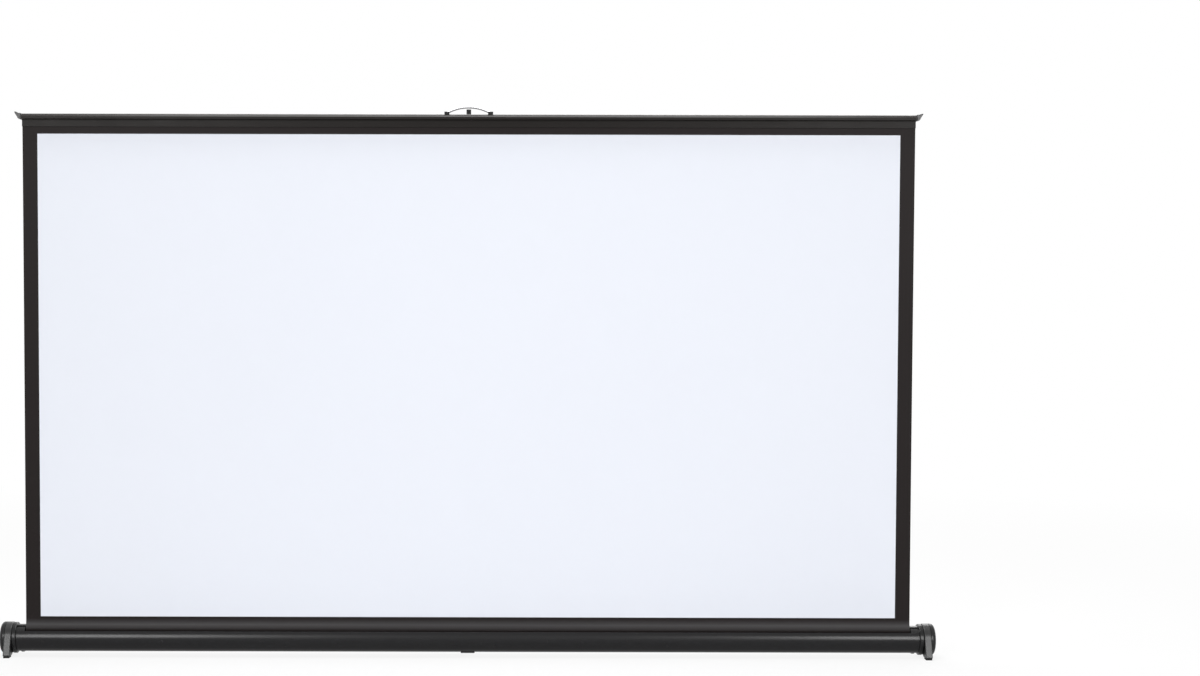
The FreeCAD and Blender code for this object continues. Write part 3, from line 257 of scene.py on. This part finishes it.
def screenBack():
    look = clothLook
    material, m = newMaterial("screenBack")
    spot = m.node("ShaderNodeTexCoord", None, None, "Object")
    x, _, z = m.apart(spot)
    threads = weave(m, x, z, look["backThread"])
    cloud = m.noise(spot, look["backCloudScale"], detail=3, rough=0.6)
    run = m.node("ShaderNodeMapping", None, {"Vector": spot, "Scale": look["streakRun"]})
    streak = m.noise(run, look["streakScale"])
    cloudShare, streakShare, threadShare = look["backTone"]
    tone = cloud * cloudShare + streak * streakShare + threads * threadShare
    closeMaterial(m, {
        "Base Color": m.mixed(tone, paint(look["back"]), paint(look["backShade"])),
        "Roughness": look["backRough"] + (cloud - 0.5) * look["backRoughSpread"],
        "Specular IOR Level": look["backSpecular"],
        "Normal": m.bump(threads, look["backRelief"], look["backReliefReach"]),
    })
    return material


frontCloth, backCloth = screenFront(), screenBack()
finishes = {
    "tube_black": hardFinish(
        "tubeLacquer", colour=(0.005, 0.0047, 0.0054), shade=(0.0034, 0.0032, 0.0038), rough=0.25,
        stretch=(0.02, 1, 1), grainScale=1400, grainBump=0.05, roughSpread=0.06, specular=0.29,
        wear=0.1, wearColour=(0.06, 0.06, 0.06), dust=0.04),
    "screen_white": frontCloth,
    "fabric_black": backCloth,
    "rubber_black": hardFinish(
        "padRubber", colour=(0.016, 0.016, 0.016), shade=(0.011, 0.011, 0.011), rough=0.78,
        grainScale=2200, grainBump=0.25, specular=0.25, wear=0.1, dust=0.5),
    "steel_plain": hardFinish(
        "zincSteel", colour=(0.52, 0.52, 0.51), shade=(0.40, 0.40, 0.41), rough=0.32, metallic=1.0,
        stretch=(1, 0.15, 1), grainScale=1600, grainBump=0.12, patchScale=120,
        wearColour=(0.7, 0.7, 0.69)),
    "steel_dark": hardFinish(
        "burnishedSteel", colour=(0.17, 0.17, 0.175), shade=(0.11, 0.11, 0.115), rough=0.36,
        metallic=1.0, grainScale=1500, grainBump=0.12, patchScale=150, wear=0.6,
        wearColour=(0.5, 0.5, 0.5)),
    "plastic_black": hardFinish(
        "capPlastic", colour=(0.006, 0.006, 0.0063), shade=(0.004, 0.004, 0.0043), rough=0.27,
        grainScale=2600, grainBump=0.05, roughSpread=0.06, specular=0.3, wear=0.12,
        wearColour=(0.08, 0.08, 0.08), dust=0.05),
    "foot_gloss": hardFinish(
        "footGloss", colour=(0.012, 0.012, 0.0122), shade=(0.008, 0.008, 0.0082), rough=0.3,
        grainScale=2400, grainBump=0.05, specular=0.48, wear=0.15, dust=0.05),
    "disc_gloss": hardFinish(
        "discGloss", colour=(0.012, 0.012, 0.0124), shade=(0.008, 0.008, 0.0083), rough=0.34,
        grainScale=1800, grainBump=0.03, coat=0.12, coatRough=0.1, specular=0.2, wear=0.15,
        dust=0.04),
    "wire_chrome": hardFinish(
        "handleWire", colour=(0.62, 0.62, 0.63), shade=(0.5, 0.5, 0.51), rough=0.16, metallic=1.0,
        stretch=(0.1, 1, 1), grainScale=1500, grainBump=0.06, patchScale=90, wear=0.1,
        wearColour=(0.8, 0.8, 0.8)),
    "bracket_black": hardFinish(
        "powderCoat", colour=(0.018, 0.018, 0.018), shade=(0.012, 0.012, 0.012), rough=0.5,
        grainScale=1500, grainBump=0.32, grainReach=0.0003, specular=0.35, wear=0.5,
        wearColour=(0.16, 0.16, 0.16)),
    "nylon_white": hardFinish(
        "washerNylon", colour=(0.62, 0.61, 0.57), shade=(0.52, 0.51, 0.47), rough=0.5,
        grainScale=1800, grainBump=0.1, wear=0.0),
}
armLook = {
    "colour": (0.085, 0.083, 0.081), "shade": (0.062, 0.061, 0.06), "rough": 0.38,
    "metallic": 0.55, "stretch": (1, 1, 0.02), "grainScale": 1500, "grainBump": 0.1,
    "specular": 0.4, "wear": 0.5, "wearColour": (0.3, 0.3, 0.3), "patchScale": 30,
}
armLean = math.radians(30)
armDrawn = {
    side: hardFinish(f"armDrawn{side.title()}", **armLook, lean=sign * armLean)
    for side, sign in (("left", 1), ("right", -1))
}
finishes["arm_alu"] = armDrawn["left"]
barFinish = hardFinish(
    "barAnodised", colour=(0.0096, 0.0075, 0.0064), shade=(0.0068, 0.0052, 0.0044), rough=0.4,
    stretch=(0.02, 1, 1), grainScale=1600, grainBump=0.08, roughSpread=0.12, specular=0.13,
    wear=0.15, wearColour=(0.08, 0.08, 0.08), dust=0.04)
ownFinish = {
    "top_bar": barFinish,
    "left_lower_arm": armDrawn["left"], "right_upper_arm": armDrawn["left"],
    "right_lower_arm": armDrawn["right"], "left_upper_arm": armDrawn["right"],
}
for name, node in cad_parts.items():
    for slot in node.material_slots:
        slot.material = ownFinish.get(name) or finishes[slot.material.name.split(".")[0]]
print("finishes set on the frame")


# plain mesh helpers
def newPiece(name, mesh, material=None):
    piece = bpy.data.objects.new(name, mesh)
    scene.collection.objects.link(piece)
    if material:
        mesh.materials.clear()
        mesh.materials.append(material)
    return piece


def meshFrom(name, build):
    bm = bmesh.new()
    build(bm)
    mesh = bpy.data.meshes.new(name)
    bm.to_mesh(mesh)
    bm.free()
    return mesh


def settled(piece):
    # the evaluated result becomes a plain mesh and the modifiers go
    graph = bpy.context.evaluated_depsgraph_get()
    mesh = bpy.data.meshes.new_from_object(piece.evaluated_get(graph))
    if piece.type == "MESH":
        piece.modifiers.clear()
        piece.data = mesh
        mesh.name = piece.name
        return piece
    made = newPiece(piece.name + "Mesh", mesh)
    name = piece.name
    bpy.data.objects.remove(piece)
    made.name = name
    return made


def smooth(piece, angle=40):
    for face in piece.data.polygons:
        face.use_smooth = True
    piece.data.set_sharp_from_angle(angle=math.radians(angle))


def dress(piece, body, slot, *nodes):
    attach(piece, body)
    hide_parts(*nodes)


# geometry node trees: named inputs, joined at the end by Realize Instances and Set Material
class Tree(Maker):
    def __init__(self, name, inputs):
        super().__init__(bpy.data.node_groups.new(name, "GeometryNodeTree"))
        face = self.tree.interface
        face.new_socket("Geometry", in_out="INPUT", socket_type="NodeSocketGeometry")
        face.new_socket("Geometry", in_out="OUTPUT", socket_type="NodeSocketGeometry")
        for title, kind in inputs.items():
            face.new_socket(title, in_out="INPUT", socket_type=f"NodeSocket{kind}")
        entry = self.tree.nodes.new("NodeGroupInput")
        self.given = {s.name: Wire(self, s) for s in entry.outputs if s.name}

    def finish(self, geometry):
        whole = self.node("GeometryNodeRealizeInstances", None, {"Geometry": geometry})
        coated = {"Geometry": whole, "Material": self.given["Material"]}
        done = self.node("GeometryNodeSetMaterial", None, coated)
        self.node("NodeGroupOutput", None, {0: done})
        return self.tree


def grown(piece, tree, inputs):
    grower = piece.modifiers.new(tree.name, "NODES")
    grower.node_group = tree
    ids = {s.name: s.identifier for s in tree.interface.items_tree if s.in_out == "INPUT"}
    for title, given in inputs.items():
        grower[ids[title]] = given
    return settled(piece)


# the screen fabric: one stretched sheet with a slight ripple and a soft curl at its sides
fabricSize = {
    "halfWide": 0.5725, "low": 0.0225, "high": 0.69359, "plane": -0.009, "thick": 0.0005,
    "columns": 150, "rows": 180, "ripple": 0.00035, "curl": 0.0014, "curlWide": 0.05,
    "lipHeight": 0.0355, "lipLean": 0.0021, "lipReach": 0.0052,
    "freeLow": 0.034, "freeHigh": 0.6835, "slowWave": (17, 0.6, 0.5), "quickWave": (41, 9, 0.3),
}


def fabricDepth(x, z):
    # it lies flat at its held ends, and leans over the slot's lip
    s = fabricSize
    share = (z - s["freeLow"]) / (s["freeHigh"] - s["freeLow"])
    free = math.sin(math.pi * min(max(share, 0), 1)) ** 0.5
    slow, start, slowShare = s["slowWave"]
    quick, climb, quickShare = s["quickWave"]
    wave = math.sin(x * slow + start) * slowShare + math.sin(x * quick + z * climb) * quickShare
    edge = max(0, (abs(x) - s["halfWide"] + s["curlWide"]) / s["curlWide"])
    lip = math.exp(-((z - s["lipHeight"]) / s["lipReach"]) ** 2)
    return s["plane"] + free * (s["ripple"] * wave + s["curl"] * edge ** 2) - s["lipLean"] * lip


def rimOf(grid):
    low, high = grid[0], grid[-1][-2::-1]
    return low + [row[-1] for row in grid[1:]] + high + [row[0] for row in grid[-2:0:-1]]


def buildFabric(bm):
    s = fabricSize
    layers = []
    for side in (-0.5, 0.5):
        grid = []
        for row in range(s["rows"] + 1):
            z = s["low"] + (s["high"] - s["low"]) * row / s["rows"]
            line = []
            for column in range(s["columns"] + 1):
                x = s["halfWide"] * (2 * column / s["columns"] - 1)
                line.append(bm.verts.new((x, fabricDepth(x, z) + side * s["thick"], z)))
            grid.append(line)
        layers.append(grid)
    front, back = layers
    for i in range(s["rows"]):
        for j in range(s["columns"]):
            bm.faces.new((front[i][j], front[i][j + 1], front[i + 1][j + 1], front[i + 1][j]))
            face = bm.faces.new((back[i][j], back[i + 1][j], back[i + 1][j + 1], back[i][j + 1]))
            face.material_index = 1
    rimFront, rimBack = rimOf(front), rimOf(back)
    count = len(rimFront)
    for i in range(count):
        k = (i + 1) % count
        face = bm.faces.new((rimFront[k], rimFront[i], rimBack[i], rimBack[k]))
        face.material_index = 1
    bmesh.ops.recalc_face_normals(bm, faces=bm.faces)


fabricMesh = meshFrom("screenFabric", buildFabric)
fabricMesh.materials.append(frontCloth)
fabricMesh.materials.append(backCloth)
fabric = newPiece("screenFabric", fabricMesh)
smooth(fabric)
dress(fabric, "casing", "screen_white", "screen_fabric")
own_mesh(fabric)
print("screen fabric made")


# the turns of fabric left on the roller, wound as a spiral by a rule
rollSize = {
    "length": 1.145, "axis": 0.0225, "inner": 0.00806, "outer": 0.00869, "turns": 1.2,
    "thick": 0.0004, "shell": 0.6, "across": 12, "around": 97,
}


def rollTree():
    t = Tree("fabricRoll", {"Length": "Float", "Inner": "Float", "Outer": "Float", "Turns": "Float",
                            "Height": "Float", "Material": "Material"})
    g = t.given
    count = {"Vertices X": rollSize["across"], "Vertices Y": rollSize["around"]}
    cloth = t.node("GeometryNodeMeshGrid", None, {"Size X": 1.0, "Size Y": 1.0, **count}, "Mesh")
    u, v, _ = t.apart(t.node("GeometryNodeInputPosition"))
    share = v + 0.5
    angle = math.pi - share * g["Turns"] * 2 * math.pi
    radius = g["Outer"] - share * (g["Outer"] - g["Inner"])
    height = g["Height"] + radius * angle.sin()
    spot = {"X": u * g["Length"], "Y": radius * angle.cos(), "Z": height}
    there = t.node("ShaderNodeCombineXYZ", None, spot)
    return t.finish(t.node("GeometryNodeSetPosition", None, {"Geometry": cloth, "Position": there}))


roll = newPiece("fabricRoll", bpy.data.meshes.new("fabricRoll"))
roll = grown(roll, rollTree(), {
    "Length": rollSize["length"], "Inner": rollSize["inner"],
    "Outer": rollSize["outer"] - rollSize["thick"], "Turns": rollSize["turns"],
    "Height": rollSize["axis"], "Material": backCloth})
shell = roll.modifiers.new("thickness", "SOLIDIFY")
shell.thickness, shell.offset = rollSize["thick"] * rollSize["shell"], 0
roll = settled(roll)
smooth(roll)
dress(roll, "roller", "fabric_black", "fabric_wraps")


# springs: the roller's long coil by nodes, the knee springs as bent wire
coilSize = {
    "turns": 24, "radius": 0.0052, "pitch": 0.0065, "wire": 0.0008, "start": -0.5605,
    "axis": 0.0225, "steps": 28, "sides": 10,
}


def coilTree():
    t = Tree("rollerCoil", {"Turns": "Float", "Radius": "Float", "Length": "Float", "Wire": "Float",
                            "Start": "Vector", "Material": "Material"})
    g = t.given
    spiral = {"Resolution": coilSize["steps"], "Rotations": g["Turns"], "Start Radius": g["Radius"],
              "End Radius": g["Radius"], "Height": g["Length"]}
    path = t.node("GeometryNodeCurveSpiral", None, spiral)
    lying = Matrix(((0, 0, 1), (1, 0, 0), (0, 1, 0))).to_euler()
    moved = {"Geometry": path, "Translation": g["Start"], "Rotation": lying}
    path = t.node("GeometryNodeTransform", None, moved)
    section = {"Resolution": coilSize["sides"], "Radius": g["Wire"]}
    ring = t.node("GeometryNodeCurvePrimitiveCircle", {"mode": "RADIUS"}, section)
    sweep = {"Curve": path, "Profile Curve": ring, "Fill Caps": True}
    return t.finish(t.node("GeometryNodeCurveToMesh", None, sweep))


coil = newPiece("rollerCoil", bpy.data.meshes.new("rollerCoil"))
coil = grown(coil, coilTree(), {
    "Turns": float(coilSize["turns"]), "Radius": coilSize["radius"],
    "Length": coilSize["turns"] * coilSize["pitch"], "Wire": coilSize["wire"],
    "Start": (coilSize["start"], 0.0, coilSize["axis"]), "Material": finishes["steel_plain"]})
smooth(coil)
dress(coil, "casing", "steel_plain", "roller_spring")

kneeSize = {
    "x": 0.22588, "z": 0.36549, "front": 0.0142, "radius": 0.0057, "pitch": 0.0018, "wire": 0.0006,
    "leg": 0.02, "bend": 0.0024, "hookEnd": 0.0097, "tangTip": 0.0018, "tangBend": 0.0014,
    "last": 1050, "steps": 102, "twist": (0.0187, 0.0148), "tangSteps": 10, "legSteps": 8,
    "wireSides": 4, "wireSmooth": 60,
}


def wirePiece(name, spots, radius, material):
    curve = bpy.data.curves.new(name, "CURVE")
    curve.dimensions = "3D"
    curve.bevel_depth, curve.use_fill_caps = radius, True
    curve.bevel_resolution = kneeSize["wireSides"]
    line = curve.splines.new("POLY")
    line.points.add(len(spots) - 1)
    for point, spot in zip(line.points, spots):
        point.co = (*spot, 1)
    curve.materials.append(material)
    piece = settled(newPiece(name, curve))
    smooth(piece, kneeSize["wireSmooth"])
    return piece


def kneeSpot(side, angle, radius, across=0):
    # a place around the knee at the coil's own depth for that angle
    s = kneeSize
    a = math.radians(angle)
    out = Vector((-side * math.cos(a), 0, math.sin(a)))
    over = Vector((side * math.sin(a), 0, math.cos(a)))
    deep = s["front"] + s["pitch"] * (s["last"] - angle) / 360
    return Vector((side * s["x"], deep, s["z"])) + out * radius + over * across


def kneeTang(side):
    # from the boss's slot outwards and round into the coil
    s = kneeSize
    reach = s["radius"] - s["tangBend"]
    first = math.asin(s["tangBend"] / reach)
    mouth = reach * math.cos(first)
    count = s["tangSteps"]
    turns = [(math.pi / 2 + first) * i / count for i in range(count + 1)]
    bend = [(mouth + s["tangBend"] * math.sin(t), s["tangBend"] * (1 - math.cos(t))) for t in turns]
    return [kneeSpot(side, 0, *spot) for spot in [(s["tangTip"], 0), *bend]], math.degrees(first)


def kneeLeg(start, along):
    # straight along the upper arm, then bent towards it to hook on its edge
    s = kneeSize
    forward = Vector((0, -1, 0))
    centre = start + along * s["leg"] + forward * s["bend"]
    turns = [math.pi / 2 * i / s["legSteps"] for i in range(s["legSteps"] + 1)]
    bend = [centre + (along * math.sin(t) - forward * math.cos(t)) * s["bend"] for t in turns]
    return [*bend, Vector((bend[-1].x, s["hookEnd"], bend[-1].z))]


def kneeSpring(title, side):
    # it winds up from the boss, which turns with the lower arm, to the leg on the upper arm
    s = kneeSize
    tang, first = kneeTang(side)
    step = (s["last"] - first) / s["steps"]
    turns = [kneeSpot(side, first + step * i, s["radius"]) for i in range(s["steps"] + 1)]
    leg = kneeLeg(turns[-1], (turns[-1] - turns[-2]).normalized())
    path = tang[:-1] + turns + leg
    piece = wirePiece(f"{title}KneeSpring", path, s["wire"], finishes["steel_plain"])
    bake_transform(piece)
    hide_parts(f"{title}_knee_spring")


for title, side in (("left", -1), ("right", 1)):
    kneeSpring(title, side)
print("springs wound")


# screws and rivets: a head is set on each spot, facing out of the surface
headSize = {
    "rings": 14, "spokes": 40, "foot": -0.05, "screwDome": 0.55, "rivetDome": 0.85, "smooth": 35,
    "recessReach": 0.62, "recessHalf": 0.13, "recessDeep": 0.6, "recessSlope": 6,
}


def headMesh(name, dome, recess):
    # a low domed head of radius 1 and height 1, with a cross recess where it is a screw
    s = headSize

    def height(x, y):
        r = math.hypot(x, y)
        lift = (1 - dome) + dome * math.sqrt(max(0, 1 - r * r))
        inward = s["recessReach"] - r
        if recess and inward > 0 and min(abs(x), abs(y)) < s["recessHalf"]:
            lift -= s["recessDeep"] * min(1, inward * s["recessSlope"])
        return lift

    def build(bm):
        rows = []
        for i in range(1, s["rings"] + 1):
            r = i / s["rings"]
            row = []
            for k in range(s["spokes"]):
                a = 2 * math.pi * k / s["spokes"]
                x, y = r * math.cos(a), r * math.sin(a)
                row.append(bm.verts.new((x, y, height(x, y))))
            rows.append(row)
        rows.append([bm.verts.new((v.co.x, v.co.y, s["foot"])) for v in rows[-1]])
        centre = bm.verts.new((0, 0, height(0, 0)))
        for k in range(s["spokes"]):
            n = (k + 1) % s["spokes"]
            bm.faces.new((centre, rows[0][k], rows[0][n]))
            for a, b in zip(rows, rows[1:]):
                bm.faces.new((a[k], b[k], b[n], a[n]))
        bm.faces.new(rows[-1][::-1])
        bmesh.ops.recalc_face_normals(bm, faces=bm.faces)

    return meshFrom(name, build)


def fastenerTree():
    t = Tree("fasteners", {"Head": "Object", "Radius": "Float", "Height": "Float",
                           "Material": "Material"})
    g = t.given
    head = t.node("GeometryNodeObjectInfo", None, {"Object": g["Head"]}, "Geometry")
    kind = {"data_type": "FLOAT_VECTOR"}
    facing = t.node("GeometryNodeInputNamedAttribute", kind, {"Name": "facing"})
    turn = t.node("FunctionNodeAlignRotationToVector", {"axis": "Z"}, {"Vector": facing})
    sides = {"X": g["Radius"], "Y": g["Radius"], "Z": g["Height"]}
    size = t.node("ShaderNodeCombineXYZ", None, sides)
    points = t.node("GeometryNodeMeshToPoints", None, {"Mesh": g["Geometry"]})
    placed = {"Points": points, "Instance": head, "Rotation": turn, "Scale": size}
    return t.finish(t.node("GeometryNodeInstanceOnPoints", None, placed))


fasteners = fastenerTree()
screwHead = newPiece("screwHeadForm", headMesh("screwHeadForm", headSize["screwDome"], True))
rivetHead = newPiece("rivetHeadForm", headMesh("rivetHeadForm", headSize["rivetDome"], False))


def fastenerRow(name, head, spots, size, body, slot, node):
    radius, height = size
    mesh = bpy.data.meshes.new(name)
    mesh.from_pydata([spot for spot, facing in spots], [], [])
    arrows = mesh.attributes.new("facing", "FLOAT_VECTOR", "POINT")
    for entry, (spot, facing) in zip(arrows.data, spots):
        entry.vector = facing
    piece = grown(newPiece(name, mesh), fasteners, {
        "Head": head, "Radius": radius, "Height": height, "Material": finishes[slot]})
    smooth(piece, headSize["smooth"])
    dress(piece, body, slot, node)


fastenerSize = {
    "capX": (-0.5785, 0.5785), "capLow": (0, 0.005), "capBack": (0.0175, 0.0225),
    "capHead": (0.0026, 0.0012),
    "rivetX": (-0.046, -0.022, 0.022, 0.046), "rivetBack": (0.01497, 0.0342),
    "rivetFacing": (0, 0.788, 0.6157), "rivetHead": (0.003, 0.0011),
    "barX": (-0.034, 0, 0.034), "barBack": (-0.0048, 0.68729), "barHead": (0.003, 0.0014),
}


def rowSpots(row, place, facing):
    return [((x, *fastenerSize[place]), facing) for x in fastenerSize[row]]


capSpots = rowSpots("capX", "capLow", (0, 0, -1)) + rowSpots("capX", "capBack", (0, 1, 0))
rivetSpots = rowSpots("rivetX", "rivetBack", fastenerSize["rivetFacing"])
barSpots = rowSpots("barX", "barBack", (0, 1, 0))
for name, head, spots, size, body, node in (
    ("capScrews", screwHead, capSpots, "capHead", "casing", "cap_screws"),
    ("baseRivets", rivetHead, rivetSpots, "rivetHead", "casing", "base_rivets"),
    ("barScrews", screwHead, barSpots, "barHead", "bar", "bar_screws"),
):
    fastenerRow(name, head, spots, fastenerSize[size], body, "steel_dark", node)
for form in (screwHead, rivetHead):
    bpy.data.objects.remove(form)
print("fasteners set")


# soft pads under the toes: a comb of ribs with rounded edges, one on each toe
padSize = {
    "x": 0.5945, "y": 0.02184, "halfWide": 0.0039, "halfLong": 0.00584, "thick": 0.002, "ribs": 4,
    "ribShare": 0.72, "groove": 0.0006, "easing": 0.0002, "easingSteps": 2,
}


def buildPads(bm):
    s = padSize
    pitch = 2 * s["halfLong"] / s["ribs"]
    comb = [(-s["halfLong"], s["thick"])]
    for i in range(s["ribs"]):
        low = -s["halfLong"] + i * pitch
        high = low + pitch * s["ribShare"]
        if i < s["ribs"] - 1:
            comb += [(low, 0), (high, 0), (high, s["groove"]), (low + pitch, s["groove"])]
        else:
            comb += [(low, 0), (s["halfLong"], 0)]
    comb.append((s["halfLong"], s["thick"]))
    for sideX in (-1, 1):
        for sideY in (-1, 1):
            ends = [[bm.verts.new((sideX * s["x"] + d, sideY * s["y"] + y, z)) for y, z in comb]
                    for d in (-s["halfWide"], s["halfWide"])]
            bm.faces.new(ends[0])
            bm.faces.new(ends[1])
            for i in range(len(comb)):
                k = (i + 1) % len(comb)
                bm.faces.new((ends[0][i], ends[0][k], ends[1][k], ends[1][i]))
    bmesh.ops.recalc_face_normals(bm, faces=bm.faces)


pads = newPiece("footPads", meshFrom("footPads", buildPads), finishes["rubber_black"])
easing = pads.modifiers.new("easing", "BEVEL")
easing.width, easing.segments = padSize["easing"], padSize["easingSteps"]
pads = settled(pads)
smooth(pads)
dress(pads, "casing", "rubber_black", "foot_pads")


# floor, light and camera
stageSize = {
    "floor": 60.0, "drop": 0.0004, "glow": 0.85, "near": 0.9, "fade": 1.6, "mirrored": 0.45,
    "pale": (0.9, 0.9, 0.9), "paleShade": (0.88, 0.88, 0.88), "mottle": 3,
    "ambient": 0.31, "backdrop": 1.0, "white": (1, 1, 1),
}


def floorFinish():
    material, m = newMaterial("paleFloor")
    spot = m.node("ShaderNodeTexCoord", None, None, "Object")
    s = stageSize
    mottle = m.noise(spot, s["mottle"])
    colour = m.mixed(mottle, paint(s["pale"]), paint(s["paleShade"]))
    matt = m.node("ShaderNodeBsdfDiffuse", None, {"Color": colour})
    lit = {"Color": paint(s["white"]), "Strength": s["backdrop"]}
    glow = m.node("ShaderNodeEmission", None, lit)
    away = m.node("ShaderNodeVectorMath", {"operation": "LENGTH"}, {0: spot}, "Value")
    far = ((away - s["near"]) / s["fade"]).larger(0).smaller(1)
    share = s["glow"] + far * (1 - s["glow"])
    both = m.node("ShaderNodeMixShader", None, {0: m.seen(s["mirrored"]) * share, 1: matt, 2: glow})
    m.node("ShaderNodeOutputMaterial", None, {"Surface": both})
    return material


def buildFloor(bm):
    half, z = stageSize["floor"] / 2, -stageSize["drop"]
    corners = ((-half, -half), (half, -half), (half, half), (-half, half))
    bm.faces.new([bm.verts.new((x, y, z)) for x, y in corners])


floor = newPiece("floor", meshFrom("floor", buildFloor), floorFinish())


def makeWorld():
    world = bpy.data.worlds.new("studio")
    world.use_nodes = True
    scene.world = world
    m = Maker(world.node_tree)
    white = paint(stageSize["white"])
    soft, plain = (
        m.node("ShaderNodeBackground", None, {"Color": white, "Strength": stageSize[level]})
        for level in ("ambient", "backdrop"))
    both = m.node("ShaderNodeMixShader", None, {0: m.seen(), 1: soft, 2: plain})
    m.node("ShaderNodeOutputWorld", None, {"Surface": both})


makeWorld()

lampAim = Vector((0, 0, 0.3))
lampSize = {
    "leftBox": ((-1.04, -2.75, 1.12), 0.54, 1.15, 26),
    "rightBox": ((1.26, -2.75, 1.05), 0.46, 1.2, 27.5),
    "overhead": ((0.0, 0.1, 1.6), 1.3, 0.8, 23), "rearBox": ((0.4, 2.8, 1.9), 2.4, 1.2, 34),
}
for name, (spot, wide, tall, power) in lampSize.items():
    lamp = bpy.data.lights.new(name, "AREA")
    lamp.shape, lamp.size, lamp.size_y, lamp.energy = "RECTANGLE", wide, tall, power
    stand = bpy.data.objects.new(name, lamp)
    scene.collection.objects.link(stand)
    stand.location = spot
    stand.visible_camera = False
    stand.rotation_mode = "QUATERNION"
    stand.rotation_quaternion = (lampAim - Vector(spot)).to_track_quat("-Z", "Y")

cameraSize = {
    "spot": (0.0052, -2.5854, 0.4663), "yaw": 0.064, "pitch": -2.521, "roll": -0.124,
    "focal": 2000, "width": 1200, "height": 676, "eyeX": 470, "eyeY": 385, "sensor": 36,
}


def makeCamera():
    s = cameraSize
    lens = bpy.data.cameras.new("camera")
    lens.sensor_width = s["sensor"]
    lens.lens = s["sensor"] * s["focal"] / s["width"]
    lens.shift_x = (s["width"] / 2 - s["eyeX"]) / s["width"]
    lens.shift_y = (s["eyeY"] - s["height"] / 2) / s["width"]
    camera = bpy.data.objects.new("camera", lens)
    scene.collection.objects.link(camera)
    turn = Matrix.Identity(3)
    for angle, axis in (("yaw", "Z"), ("pitch", "X"), ("roll", "Y")):
        turn = turn @ Matrix.Rotation(math.radians(s[angle]), 3, axis)
    axes = Matrix((turn.col[0], turn.col[2], -turn.col[1])).transposed()
    camera.matrix_world = Matrix.Translation(s["spot"]) @ axes.to_4x4()
    scene.camera = camera


makeCamera()
print("stage, lamps and camera ready")
